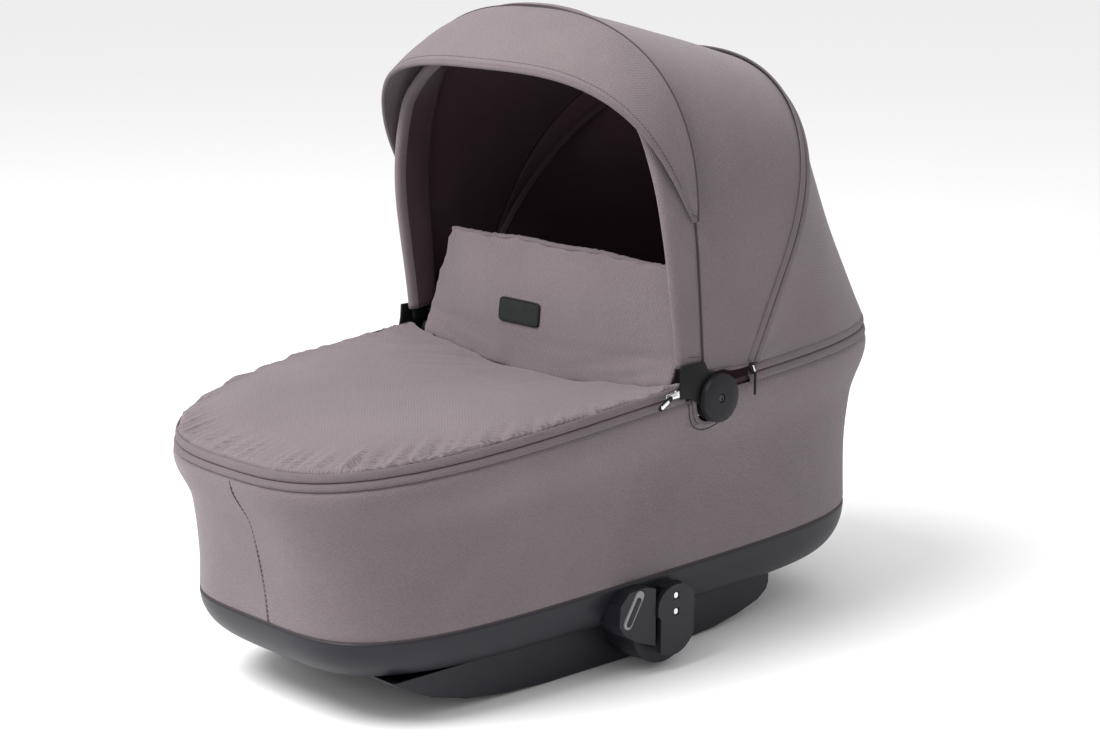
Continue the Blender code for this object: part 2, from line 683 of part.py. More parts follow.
def make_pull(name, pivot, length, lean, finish):
    """A zip pull that hangs from its slider, leaning towards the foot end by an angle."""
    body(name, pivot)
    pull = box((-0.0012, -0.0025, -length / 2), (0.0012, 0.0025, length / 2))
    pull.rotation_euler = (-lean, 0, 0)
    pull.location = pivot - Matrix.Rotation(-lean, 3, "X") @ Vector((0, 0, length / 2 - 0.001))
    round_edges(pull, 0.0008, 1)
    place(pull, f"{name}_tab", finish, name)


def make_zips():
    """The sliders on the apron zip and the hood zip, each with a swinging pull."""
    for side, word in ((RIGHT, "right"), (LEFT, "left")):
        at = Vector((side * 0.2118, -0.020, rim_height(-0.020) + 0.0042))
        make_slider(f"apron_slider_{word}", at, (0.0052, 0.014, 0.008), "apron")
        pivot = at + Vector((side * 0.0042, -0.005, 0))
        make_pull(f"apron_pull_{word}", pivot, 0.022, APRON_PULL_LEAN, STEEL)

        at = Vector((side * 0.2182, 0.083, 0.298))
        make_slider(f"hood_slider_{word}", at, (0.0052, 0.009, 0.011), "rear_bow")
        make_pull(f"hood_pull_{word}", at + Vector((side * 0.0042, 0.0, -0.003)), 0.024, 0.0, BLACK)


# ---- the chassis adapters ----------------------------------------------------------------------
def circle(y, z, radius, count, first=0.0):
    return [(y + radius * math.cos(first + a), z + radius * math.sin(first + a)) for a in turns(count)]


def base_envelope(grow):
    """The base's outer shape as a closed solid, grown a little, to trim what sits against it."""
    rings = [[base_point(a, turn, -grow) for a in turns(RING_STEPS)] for turn in BASE_TURNS]
    rings.insert(0, [p + Vector((0, 0, 0.02)) for p in rings[0]])
    return closed_loft("base_envelope", rings)


def plate_outline():
    """The plate's face: round shoulders, a step below them, and a round foot inside the body's disc."""
    y_low, y_high, middle = -0.015, 0.035, 0.010
    top, step_z = 0.088, 0.060
    shoulder = [(middle + 0.025 * math.cos(a), top - 0.020 + 0.020 * math.sin(a))
                for a in steps(0.0, math.pi, 10)]
    foot = [(ADAPTER_Y + PLATE_RADIUS * math.cos(a), ADAPTER_Z + PLATE_RADIUS * math.sin(a))
            for a in steps(math.radians(236), math.radians(336), 9)]
    return shoulder + [(y_low, step_z), (foot[0][0], step_z - 0.004)] + foot + [(y_high - 0.0005, 0.052)]


def button_outline(grow):
    """The release button's slanted outline, grown all round."""
    low, high, half = Vector((-0.0540, 0.0605)), Vector((-0.0385, 0.0855)), 0.0058 + grow
    along = math.atan2(high.y - low.y, high.x - low.x)
    ends = [(high, a) for a in steps(along - math.pi / 2, along + math.pi / 2, 6)]
    ends += [(low, a) for a in steps(along + math.pi / 2, along + 1.5 * math.pi, 6)]
    return [(end.x + half * math.cos(a), end.y + half * math.sin(a)) for end, a in ends]


def make_adapters():
    """On each side: the adapter body, its neck and face plate, the release button, and the latch bolt."""
    for side, word in ((RIGHT, "right"), (LEFT, "left")):
        low, high = span(side, TRAY_HALF_WIDTH + TRAY_GAP, BODY_OUTER)
        disc = slab("disc", circle(ADAPTER_Y, ADAPTER_Z, ADAPTER_RADIUS, 28), low, high)
        combine(disc, base_envelope(0.0007), "DIFFERENCE")
        place(disc, f"adapter_body_{word}", SHELL)

        low, high = span(side, BODY_OUTER + 0.0003, NECK_OUTER)
        neck = slab("neck", [(-0.004, 0.028), (0.024, 0.028), (0.024, 0.0865), (-0.004, 0.0865)], low, high)
        slot_low, slot_high = span(side, 0.170, 0.190)
        combine(neck, box((slot_low, 0.0050, 0.0525), (slot_high, 0.0150, 0.0835)), "DIFFERENCE")
        place(neck, f"adapter_neck_{word}", SHELL)

        low, high = span(side, NECK_OUTER + 0.0003, PLATE_OUTER)
        windows = [[(0.0065, z - 0.0035), (0.0135, z - 0.0035), (0.0135, z + 0.0035), (0.0065, z + 0.0035)]
                   for z in PIN_LEVELS]
        place(slab("plate", plate_outline(), low, high, holes=windows), f"adapter_plate_{word}", SHELL)

        body(f"latch_{word}", (side * 0.183, 0.010, 0.0625))
        low, high = span(side, 0.1800, 0.1852)
        bolt = box((low, 0.0060, 0.0545), (high, 0.0140, 0.0815))
        round_edges(bolt, 0.0012, 1)
        low, high = span(side, 0.1840, 0.1900)
        for z in PIN_LEVELS:
            combine(bolt, cylinder(0.0029, low, high, y=0.010, z=z, vertices=16), "UNION")
        place(bolt, f"latch_bolt_{word}", STEEL, f"latch_{word}")

        low, high = span(side, 0.160, BUTTON_HOUSING_OUTER)
        block = slab("block", HOUSING_OUTLINE, low, high)
        combine(block, base_envelope(0.0007), "DIFFERENCE")
        low, high = span(side, 0.150, BODY_OUTER + 0.0003)
        clear = circle(ADAPTER_Y, ADAPTER_Z, ADAPTER_RADIUS + 0.0006, 28)
        combine(block, slab("clear", clear, low, high), "DIFFERENCE")
        low, high = span(side, 0.1745, 0.2)
        combine(block, slab("pocket", button_outline(0.0007), low, high), "DIFFERENCE")
        place(block, f"button_housing_{word}", SHELL)

        body(f"button_{word}", (side * 0.184, -0.046, 0.073))
        low, high = span(side, 0.1795, BUTTON_HOUSING_OUTER + 0.0015)
        button = slab("button", button_outline(0.0), low, high, bevel=0.0012)
        place(button, f"release_button_{word}", GREY, f"button_{word}")


make_walls()
make_base()
make_tray_screws()
make_frame()
make_lining()
make_rear_panel()
make_rear_bow()
make_front_bow()
make_visor()
make_hubs()
make_apron()
make_flap()
make_zips()
make_adapters()
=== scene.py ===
"""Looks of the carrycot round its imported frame: fabric, zips, padding, linings, moulded parts and metal."""
import json
import math

import bmesh
import bpy
import numpy as np
from mathutils import Matrix, Vector, noise
from mathutils.bvhtree import BVHTree


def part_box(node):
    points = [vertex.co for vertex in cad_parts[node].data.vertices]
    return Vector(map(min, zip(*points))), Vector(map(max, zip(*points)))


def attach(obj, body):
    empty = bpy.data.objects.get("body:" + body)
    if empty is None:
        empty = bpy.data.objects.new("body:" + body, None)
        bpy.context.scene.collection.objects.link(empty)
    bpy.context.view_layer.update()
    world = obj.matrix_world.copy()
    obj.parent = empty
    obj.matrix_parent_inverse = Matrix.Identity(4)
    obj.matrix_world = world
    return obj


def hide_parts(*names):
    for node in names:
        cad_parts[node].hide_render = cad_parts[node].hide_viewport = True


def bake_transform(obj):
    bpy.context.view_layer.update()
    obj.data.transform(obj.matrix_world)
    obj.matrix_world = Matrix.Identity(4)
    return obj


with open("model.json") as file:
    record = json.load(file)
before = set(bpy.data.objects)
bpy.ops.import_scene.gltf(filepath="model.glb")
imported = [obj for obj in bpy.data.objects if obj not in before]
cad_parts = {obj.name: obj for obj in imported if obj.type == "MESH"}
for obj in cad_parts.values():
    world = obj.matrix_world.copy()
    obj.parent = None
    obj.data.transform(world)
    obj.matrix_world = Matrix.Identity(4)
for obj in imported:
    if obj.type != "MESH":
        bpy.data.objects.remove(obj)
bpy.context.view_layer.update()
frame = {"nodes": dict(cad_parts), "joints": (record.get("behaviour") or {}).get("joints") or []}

# ---- sizes, in metres, from the frame and the cloth's own pattern ------------------------------
JOINTS = {joint["name"]: joint for joint in frame["joints"]}
HUB_Y, HUB_Z = JOINTS["rear_bow_fold"]["pos_m"][1:]
RIM_HALF_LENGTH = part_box("zip_tape_rear")[1][1] - 0.0010
RIM_HALF_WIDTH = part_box("apron_zip_tape")[1][0]
RIM_POWER = 3.0
BASE_HALF_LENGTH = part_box("base_shell")[1][1] + 0.0005
BASE_HALF_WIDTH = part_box("base_shell")[1][0] + 0.0005
BASE_POWER = 4.2
BASE_FLOOR, BASE_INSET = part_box("base_shell")[0][2], 0.037
MATTRESS_LOW, MATTRESS_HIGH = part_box("mattress")
COVER_TOP, OVERHANG, OVERHANG_FROM = 0.955, 0.007, 0.62  # levels on the wall, and how far it bulges
ZIP_FOOT_Y, ZIP_HEAD_Y = 0.001, 0.091  # where the apron's and the hood's runs of the rim zip end
FABRIC = 0.0016
NOTCH_RADIUS = 0.0262

# The hood: angles about the hubs in degrees, and arches as (half width, shoulder, rise, power).
FRONT_ANGLE, REAR_ANGLE, VISOR_ANGLE = 97.0, 63.1, 121.6
FRONT_ARCH, FRONT_FOOT = (0.208, 0.12, 0.248, 2.4), 0.030
SLEEVE_CORE, SLEEVE_HEM, SLEEVE_DEPTH = (0.200, 0.12, 0.240, 2.4), 0.0375, 0.0072
REAR_ARCH = (0.212, 0.1022, 0.2115, 2.234)
REAR_FOOT_Y, REAR_FOOT_Z = HUB_Y + 0.0507, HUB_Z + 0.027
ZIP_LOW_ANGLE, ZIP_HIGH_ANGLE, ZIP_NEAR, ZIP_REACH, ZIP_BEND = 28, 55.5, 0.057, 0.30, 0.45
HEM_RISE = 0.009  # the rear panel's hem above the rim's zip line
VISOR_SEAM, VISOR_SHOULDER = (0.2140, 0.1894, 2.5), 0.177
VISOR_EDGE, VISOR_FOOT_Y, VISOR_FOOT_Z = (0.208, 0.1612, 3.25), 0.0111, 0.4487
LINING_GAP, REAR_LINING_GAP = -0.0036, -0.0050
HOOD_FRONT_MIDDLE = Vector((0, HUB_Y - 0.03, HUB_Z + 0.30))
HOOD_ZIP_MIDDLE = Vector((0, HUB_Y + 0.18, HUB_Z + 0.27))
HOOD_RIM_MIDDLE = Vector((0, HUB_Y + 0.33, HUB_Z + 0.03))
RIGHT, LEFT = 1, -1
SIDES = ((RIGHT, "right"), (LEFT, "left"))
CLOTH = "taupe_fabric"  # the record's slot for every outer fabric, tape and thread


def rim_height(y):
    """Height of the rim's zip line."""
    return 0.283 + 0.075 * y - 0.10 * y * y


def base_height(y):
    """Height of the line where the wall meets the base pan."""
    return 0.096 + 0.018 * y


def power_curve(angle, half_x, half_y, power):
    """A point of a rounded rectangle: the higher the power, the squarer."""
    c, s = math.cos(angle), math.sin(angle)
    return half_x * math.copysign(abs(c) ** (2 / power), c), half_y * math.copysign(abs(s) ** (2 / power), s)


def wall_point(angle, level, inset=0.0):
    """The tub's outer wall: level 0 at the base and 1 at the rim."""
    flare = level ** 2
    lip = max(0.0, (level - OVERHANG_FROM) / (1 - OVERHANG_FROM))
    overhang = OVERHANG * math.sin(math.pi * min(1.0, lip) ** 1.6)
    half_x = BASE_HALF_WIDTH + (RIM_HALF_WIDTH - BASE_HALF_WIDTH) * flare + overhang - inset
    half_y = BASE_HALF_LENGTH + (RIM_HALF_LENGTH - BASE_HALF_LENGTH) * flare + overhang - inset
    x, y = power_curve(angle, half_x, half_y, BASE_POWER + (RIM_POWER - BASE_POWER) * level)
    return Vector((x, y, base_height(y) * (1 - level) + rim_height(y) * level))


def rim_point(angle, rise, inset=0.0):
    x, y = power_curve(angle, RIM_HALF_WIDTH - inset, RIM_HALF_LENGTH - inset, RIM_POWER)
    return Vector((x, y, rim_height(y) + rise))


def rim_angle(y):
    return math.copysign(math.asin((abs(y) / RIM_HALF_LENGTH) ** (RIM_POWER / 2)), y)


def steps(low, high, count):
    return [low + (high - low) * i / count for i in range(count + 1)]


def smooth(low, high, value):
    t = min(1.0, max(0.0, (value - low) / (high - low)))
    return t * t * (3 - 2 * t)


# ---- the hood's two arches and the cloth between them ------------------------------------------
def arch(u, half, shoulder, rise, power):
    """(x, height) along an arch: u runs from 0 at the right foot to 1 at the left foot."""
    leg = 0.12
    if u < leg:
        return half, shoulder * u / leg
    if u > 1 - leg:
        return -half, shoulder * (1 - u) / leg
    x, up = power_curve(math.pi * (u - leg) / (1 - 2 * leg), half, rise, power)
    return x, shoulder + abs(up)


def seam_ahead(height):
    """How far the seam between the sleeve and the main panel lies ahead of the hood's front plane."""
    return max(0.0, 0.0125 - 0.0125 * height / 0.30)


def in_front_plane(x, height, ahead):
    """A point at a height up the hood's front plane, and that far ahead of it."""
    a = math.radians(FRONT_ANGLE)
    return Vector((x, HUB_Y + height * math.cos(a) - ahead * math.sin(a),
                   HUB_Z + height * math.sin(a) + ahead * math.cos(a)))


def front_arch(u):
    x, height = arch(u, *FRONT_ARCH)
    height = max(height, FRONT_FOOT)
    return in_front_plane(x, height, seam_ahead(height))


def rear_arch(u):
    x, h = arch(u, *REAR_ARCH)
    a = math.radians(REAR_ANGLE)
    return Vector((x, REAR_FOOT_Y + h * math.cos(a), REAR_FOOT_Z + h * math.sin(a)))


def outward(point):
    """The direction away from the middle of the hood."""
    away = Vector((point.x * 0.7, point.y - HUB_Y - 0.03, point.z - HUB_Z))
    return away.normalized()


def hood_main(u, s, out=0.0):
    """The hood's main panel: s runs from 0 at the front bow to 1 at the zip."""
    point = front_arch(u).lerp(rear_arch(u), s)
    belly = 4 * s * (1 - s)
    top = math.sin(math.pi * u)
    ripple = 0.0012 * noise.noise(Vector((u * 9, s * 3, 1.7))) * belly
    slack = 0.0016 * math.sin(s * math.pi * 3 + 4 * u) * math.exp(-min(u, 1 - u) * 26) * belly
    return point + outward(point) * (0.0019 * belly * top + ripple + slack + out)


def rear_rim(u):
    """The foot of the rear panel, round the head end."""
    return rim_point(math.pi * (0.05 + 0.90 * u), HEM_RISE, 0.0015)


def hood_rear(u, s, out=0.0):
    """The hood's rear panel: s runs from 0 at the zip to 1 at the rim."""
    point = rear_arch(u).lerp(rear_rim(u), s)
    belly = 4 * s * (1 - s)
    ripple = 0.0020 * noise.noise(Vector((u * 7, s * 2.5, 9.1))) * belly
    return point + outward(point) * (-0.0055 * belly * math.sin(math.pi * u) + ripple + out)


def visor_edge(u):
    half, rise, power = VISOR_EDGE
    x, reach = power_curve(math.pi * u, half, rise, power)
    a = math.radians(VISOR_ANGLE)
    return Vector((x, VISOR_FOOT_Y + abs(reach) * math.cos(a), VISOR_FOOT_Z + abs(reach) * math.sin(a)))


def visor_seam(u):
    half, rise, power = VISOR_SEAM
    x, up = power_curve(math.pi * u, half, rise, power)
    return in_front_plane(x, VISOR_SHOULDER + abs(up), 0.0010 + 0.0085 * (1 - abs(up) / rise) ** 2)


def visor_point(u, s, out=0.0):
    """The visor: s runs from 0 at the front bow's seam to 1 at its free edge."""
    point = visor_seam(u).lerp(visor_edge(u), s) - Vector((0, 0, 0.018 * smooth(0.70, 0.98, u)))
    belly = 4 * s * (1 - s) * math.sin(math.pi * u)
    ripple = 0.0010 * noise.noise(Vector((u * 14, s * 3, 4.2))) * math.sin(math.pi * s)
    away = Vector((point.x * 0.5, -0.04, 0.12 * math.sin(math.pi * u) + 0.02)).normalized()
    return point + Vector((0, -0.0024, 0.0048)) * belly + away * (ripple + out)


# ---- mesh building -----------------------------------------------------------------------------
def add_mesh(name, points, faces, coordinates=None):
    """A smooth mesh object. coordinates are the cloth's own, in metres, one pair for each face corner."""
    data = bpy.data.meshes.new(name)
    data.from_pydata([tuple(p) for p in points], [], faces)
    if coordinates is not None:
        layer = data.uv_layers.new(name="cloth")
        layer.data.foreach_set("uv", np.asarray(coordinates, np.float32).ravel())
    data.shade_smooth()
    made = bpy.data.objects.new(name, data)
    bpy.context.scene.collection.objects.link(made)
    return made


def applied(obj):
    """Makes an object's modifiers part of its mesh."""
    graph = bpy.context.evaluated_depsgraph_get()
    evaluated = obj.evaluated_get(graph)
    data = bpy.data.meshes.new_from_object(evaluated, preserve_all_data_layers=True, depsgraph=graph)
    obj.modifiers.clear()
    obj.data = data


def grid(name, rows, closed=False, thickness=0.0, caps=False):
    """A surface through rows of points with the cloth's coordinates on it, thickened evenly to both sides."""
    count, columns = len(rows), len(rows[0])
    points = np.array([[tuple(p) for p in row] for row in rows])
    ring = np.concatenate([points, points[:, :1]], axis=1) if closed else points
    along = np.concatenate([[0], np.cumsum(np.linalg.norm(np.diff(ring, axis=1), axis=2).mean(axis=0))])
    down = np.concatenate([[0], np.cumsum(np.linalg.norm(np.diff(points, axis=0), axis=2).mean(axis=1))])
    faces, coordinates = [], []
    for r in range(count - 1):
        for c in range(columns if closed else columns - 1):
            here, after = r * columns + c, r * columns + (c + 1) % columns
            faces.append((here, after, after + columns, here + columns))
            coordinates += [(along[c], down[r]), (along[c + 1], down[r]),
                            (along[c + 1], down[r + 1]), (along[c], down[r + 1])]
    if caps:
        for r in (0, count - 1):
            faces.append(tuple(range(r * columns, (r + 1) * columns)))
            coordinates += [(points[r, c, 0], points[r, c, 1]) for c in range(columns)]
    obj = add_mesh(name, points.reshape(-1, 3), faces, coordinates)
    if thickness:
        solid = obj.modifiers.new("thickness", "SOLIDIFY")
        solid.thickness, solid.offset, solid.use_even_offset = thickness, 0.0, False
        applied(obj)
    return obj


def frames_along(path, closed):
    """A path's points as an array, and the unit tangent at each."""
    p = np.array([tuple(q) for q in path])
    if closed:
        t = np.roll(p, -1, axis=0) - np.roll(p, 1, axis=0)
    else:
        t = np.gradient(p, axis=0)
    return p, t / np.linalg.norm(t, axis=1, keepdims=True)


def band(name, path, across, profile, closed=False):
    """A strip swept along a path. across gives each point's width direction, and profile is a closed outline of
    (width, height) pairs in metres, height being away from the surface."""
    p, tangent = frames_along(path, closed)
    w = np.array([tuple(a) for a in across], float)
    w -= (w * tangent).sum(axis=1, keepdims=True) * tangent
    w /= np.linalg.norm(w, axis=1, keepdims=True)
    h = np.cross(tangent, w)
    rings = [[p[i] + w[i] * a + h[i] * b for a, b in profile] for i in range(len(p))]
    if closed:
        rings.append(rings[0])
    obj = grid(name, rings, closed=True, caps=not closed)
    weld(obj)
    return obj


def weld(obj):
    """Joins points that coincide and turns every face outwards."""
    edit = bmesh.new()
    edit.from_mesh(obj.data)
    bmesh.ops.remove_doubles(edit, verts=edit.verts, dist=1e-6)
    bmesh.ops.recalc_face_normals(edit, faces=edit.faces)
    edit.to_mesh(obj.data)
    edit.free()


def oval(width, height, count=14):
    """A flattened outline for band()."""
    return [(width / 2 * math.copysign(abs(math.cos(a)) ** 0.6, math.cos(a)),
             height / 2 * math.copysign(abs(math.sin(a)) ** 0.8, math.sin(a)))
            for a in (math.tau * i / count for i in range(count))]


def tube(name, path, radius, closed=False, sides=8):
    """A round rod or thread along a path."""
    across = [(0.31, 0.17, 0.93)] * len(path)
    angles = [math.tau * i / sides for i in range(sides)]
    return band(name, path, across, [(radius * math.cos(a), radius * math.sin(a)) for a in angles], closed)


def resample(path, spacing):
    """Points evenly spaced along a path."""
    p = np.array([tuple(q) for q in path])
    length = np.concatenate([[0], np.cumsum(np.linalg.norm(np.diff(p, axis=0), axis=1))])
    count = max(2, int(length[-1] / spacing))
    at = np.linspace(0, length[-1], count)
    return [Vector([np.interp(a, length, p[:, i]) for i in range(3)]) for a in at]


def stitches(name, path, stitch=0.0030, gap=0.0016, radius=0.00032):
    """A row of sewn stitches along a path: tapered, slightly bowed, one mesh."""
    points, faces = [], []
    spots = resample(path, (stitch + gap) / 4)
    for start in range(0, len(spots) - 4, 4):
        run = spots[start:start + 4]
        direction = (run[-1] - run[0]).normalized()
        side = direction.orthogonal().normalized()
        other = direction.cross(side)
        first = len(points)
        for i, (centre, swell) in enumerate(zip(run, (0.55, 1.0, 1.0, 0.55))):
            for k in range(6):
                a = math.tau * k / 6
                points.append(centre + (side * math.cos(a) + other * math.sin(a)) * radius * swell)
            if i:
                for k in range(6):
                    b = first + (i - 1) * 6
                    faces.append((b + k, b + (k + 1) % 6, b + 6 + (k + 1) % 6, b + 6 + k))
        faces.append(tuple(first + k for k in reversed(range(6))))
        faces.append(tuple(first + 18 + k for k in range(6)))
    return add_mesh(name, points, faces)


# ---- materials ---------------------------------------------------------------------------------
class Nodes:
    """Wires one material's nodes."""

    def __init__(self, name, roughness, metallic=0.0):
        self.material = bpy.data.materials.new(name)
        self.material.use_nodes = True
        self.tree = self.material.node_tree
        self.shader = self.tree.nodes["Principled BSDF"]
        self.set("Roughness", roughness)
        self.set("Metallic", metallic)

    def add(self, kind, settings=(), **inputs):
        node = self.tree.nodes.new(kind)
        for key, value in dict(settings).items():
            setattr(node, key, value)
        for key, value in inputs.items():
            socket = node.inputs[key.replace("_", " ")]
            if isinstance(value, bpy.types.NodeSocket):
                self.tree.links.new(value, socket)
            else:
                socket.default_value = value
        return node

    def link(self, output, name):
        self.tree.links.new(output, self.shader.inputs[name])

    def position(self):
        return self.add("ShaderNodeTexCoord").outputs["Object"]

    def cloth(self):
        return self.add("ShaderNodeUVMap", {"uv_map": "cloth"}).outputs["UV"]

    def speckle(self, where, scale, detail=2.0, rough=0.6):
        return self.add("ShaderNodeTexNoise", Vector=where, Scale=scale, Detail=detail, Roughness=rough)

    def ramp(self, factor, low, high, first=(0, 0, 0, 1), last=(1, 1, 1, 1)):
        node = self.add("ShaderNodeValToRGB", Fac=factor)
        node.color_ramp.elements[0].position, node.color_ramp.elements[1].position = low, high
        node.color_ramp.elements[0].color, node.color_ramp.elements[1].color = first, last
        return node.outputs["Color"]

    def math(self, operation, a, b):
        node = self.add("ShaderNodeMath", {"operation": operation})
        for socket, value in zip(node.inputs, (a, b)):
            if isinstance(value, bpy.types.NodeSocket):
                self.tree.links.new(value, socket)
            else:
                socket.default_value = value
        return node.outputs["Value"]

    def bump(self, height, strength, distance):
        node = self.add("ShaderNodeBump", Height=height, Strength=strength, Distance=distance)
        self.link(node.outputs["Normal"], "Normal")

    def set(self, name, value):
        self.shader.inputs[name].default_value = value


def fabric(name, dark, light, on_cloth=True, weave=0.0017, depth=0.00045, sheen=0.30, mottle=0.20):
    """A fine melange twill: two yarn colours, diagonal ribs, and slow variation over the panel."""
    n = Nodes(name, 0.86)
    where = n.cloth() if on_cloth else n.position()
    grain = n.speckle(n.position(), 820, 3.0, 0.75)
    slow = n.speckle(n.position(), 9, 2.0)
    lean = (0.0, 0.0) if on_cloth else (math.radians(35), math.radians(20))
    turned = n.add("ShaderNodeMapping", Vector=where, Rotation=(*lean, math.radians(38)))
    ribs = n.add("ShaderNodeTexWave", {"wave_type": "BANDS", "bands_direction": "X"},
                 Vector=turned.outputs["Vector"], Scale=0.314 / weave, Distortion=0.7, Detail=1.0)
    cross = n.add("ShaderNodeMapping", Vector=where, Rotation=(*lean, math.radians(-52)))
    picks = n.add("ShaderNodeTexWave", {"wave_type": "BANDS", "bands_direction": "X"},
                  Vector=cross.outputs["Vector"], Scale=0.314 / (weave * 1.5), Distortion=0.9, Detail=1.0)
    grained = n.math("MULTIPLY", grain.outputs["Fac"], 0.62)
    tone = n.math("ADD", grained, n.math("MULTIPLY", ribs.outputs["Fac"], 0.22))
    tone = n.math("ADD", tone, n.math("MULTIPLY", slow.outputs["Fac"], mottle))
    n.link(n.ramp(tone, 0.30, 0.74, (*dark, 1), (*light, 1)), "Base Color")
    height = n.math("ADD", ribs.outputs["Fac"], n.math("MULTIPLY", picks.outputs["Fac"], 0.5))
    height = n.math("ADD", height, n.math("MULTIPLY", grain.outputs["Fac"], 0.9))
    n.bump(height, 0.5, depth)
    n.set("Sheen Weight", sheen)
    n.set("Sheen Roughness", 0.45)
    n.set("Sheen Tint", (0.80, 0.74, 0.78, 1))
    n.set("Specular IOR Level", 0.25)
    return n.material


def plastic(name, rgb, roughness, specular=0.30, grain_depth=0.00006, variation=0.18):
    """Moulded plastic with a fine spark-eroded grain and slight differences in gloss."""
    n = Nodes(name, roughness)
    where = n.position()
    fine = n.speckle(where, 1500, 2.0, 0.6)
    slow = n.speckle(where, 14, 3.0)
    low = tuple(c * (1 - variation) for c in rgb)
    high = tuple(c * (1 + variation) for c in rgb)
    n.link(n.ramp(slow.outputs["Fac"], 0.3, 0.7, (*low, 1), (*high, 1)), "Base Color")
    n.set("Specular IOR Level", specular)
    gloss = n.math("ADD", n.math("MULTIPLY", slow.outputs["Fac"], 0.12), roughness - 0.06)
    n.link(gloss, "Roughness")
    n.bump(fine.outputs["Fac"], 0.35, grain_depth)
    return n.material


def metal(name, rgb, roughness, brushed=False):
    """Plated or drawn metal, with a faint grain."""
    n = Nodes(name, roughness, 1.0)
    where = n.position()
    if brushed:
        where = n.add("ShaderNodeMapping", Vector=where, Scale=(1.0, 0.05, 1.0)).outputs["Vector"]
    fine = n.speckle(where, 1200, 2.0, 0.6)
    low = tuple(c * 0.88 for c in rgb)
    n.link(n.ramp(fine.outputs["Fac"], 0.35, 0.65, (*low, 1), (*rgb, 1)), "Base Color")
    n.link(n.math("ADD", n.math("MULTIPLY", fine.outputs["Fac"], 0.14), roughness - 0.07), "Roughness")
    n.bump(fine.outputs["Fac"], 0.2, 0.00003)
    return n.material


TAUPE_DARK, TAUPE_LIGHT = (0.078, 0.062, 0.066), (0.178, 0.148, 0.156)
TAUPE = fabric("taupe_twill", TAUPE_DARK, TAUPE_LIGHT)
TAUPE_PAD = fabric("taupe_twill_padded", TAUPE_DARK, TAUPE_LIGHT, on_cloth=False)
TAPE = fabric("taupe_zip_tape", (0.072, 0.057, 0.061), (0.160, 0.132, 0.140), weave=0.0010, sheen=0.2)
# Dark seam colour: painted shade on the lines along seams, folds and the base edge, and also the colour of the
# stitch thread and of the hood zip's coil.
SEAM_SHADE_AND_THREAD = fabric("seam_shadow", (0.030, 0.022, 0.025), (0.060, 0.047, 0.051), weave=0.0009, sheen=0.05)
BADGE = fabric("badge_weave", (0.0075, 0.0085, 0.0090), (0.0160, 0.0175, 0.0180), weave=0.0008, sheen=0.03)
LINING = fabric("dark_lining", (0.034, 0.017, 0.023), (0.066, 0.037, 0.047), weave=0.0010, sheen=0.12)
QUILT = fabric("mattress_ticking", (0.50, 0.47, 0.45), (0.68, 0.65, 0.62), on_cloth=False, weave=0.0018)
CHARCOAL = plastic("charcoal_plastic", (0.0120, 0.0118, 0.0168), 0.42, 0.26)
HUB_BLACK = plastic("hub_plastic", (0.0125, 0.0122, 0.0155), 0.40, 0.15)
BLACK = plastic("black_plastic", (0.0065, 0.0067, 0.0074), 0.38, 0.13)
GREY = plastic("grey_plastic", (0.22, 0.22, 0.23), 0.30)
NICKEL = metal("bright_nickel", (0.78, 0.78, 0.80), 0.18)
DARK_STEEL = metal("blackened_steel", (0.06, 0.06, 0.065), 0.30)
STEEL = metal("plated_steel", (0.55, 0.55, 0.57), 0.30, brushed=True)
ALUMINIUM = metal("aluminium_tube", (0.72, 0.72, 0.74), 0.36, brushed=True)
BOARD = plastic("stiffener_board", (0.40, 0.40, 0.40), 0.7)


def dress(obj, material, slot, body=None):
    """Gives a piece its material and the body it rides on. slot is not used."""
    obj.data.materials.clear()
    obj.data.materials.append(material)
    if body:
        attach(obj, body)
    return obj


def seam_shade_line(name, path, radius, body, closed=False):
    """Painted shade: a dark tube laid where the cloth dips at seams, folds and the base edge."""
    dress(tube(name, path, radius, closed), SEAM_SHADE_AND_THREAD, CLOTH, body)


# ---- the camera, the light and the floor -------------------------------------------------------
def add_camera():
    """The view of the product picture: from the right of the foot end, a little above the rim."""
    azimuth, elevation, distance = math.radians(47.5), math.radians(12.8), 2.40
    target = Vector((0.018, 0.0, 0.268))
    away = Vector((math.sin(azimuth) * math.cos(elevation), -math.cos(azimuth) * math.cos(elevation),
                   math.sin(elevation)))
    data = bpy.data.cameras.new("camera")
    data.lens, data.sensor_width, data.sensor_fit = 77.63, 36.0, "HORIZONTAL"
    camera = bpy.data.objects.new("camera", data)
    camera.location = target + away * distance
    camera.rotation_euler = (-away).to_track_quat("-Z", "Y").to_euler()
    bpy.context.scene.collection.objects.link(camera)
    bpy.context.scene.camera = camera


def add_light(name, location, target, size, power):
    """A round soft box at a place, facing a target."""
    data = bpy.data.lights.new(name, "AREA")
    data.shape, data.size, data.energy = "DISK", size, power
    lamp = bpy.data.objects.new(name, data)
    lamp.location = location
    lamp.rotation_euler = (Vector(target) - Vector(location)).to_track_quat("-Z", "Y").to_euler()
    bpy.context.scene.collection.objects.link(lamp)


def add_studio():
    """A white surround, two soft boxes and a pale floor."""
    world = bpy.data.worlds.new("studio")
    world.use_nodes = True
    world.node_tree.nodes["Background"].inputs["Color"].default_value = (1.0, 1.0, 1.0, 1)
    world.node_tree.nodes["Background"].inputs["Strength"].default_value = 0.93
    bpy.context.scene.world = world
    bpy.context.scene.view_settings.view_transform = "Standard"
    add_light("overhead", (-0.2, -1.7, 2.5), (0, -0.1, 0.2), 1.8, 108)
    add_light("key", (-1.9, -2.2, 1.7), (0, 0, 0.3), 1.2, 10)
    bpy.ops.mesh.primitive_plane_add(size=120, location=(0, 0, -0.0006))
    floor = bpy.context.object
    floor.name = "floor"
    n = Nodes("pale_floor", 0.9)
    n.set("Base Color", (0.90, 0.90, 0.90, 1.0))
    floor.data.materials.append(n.material)


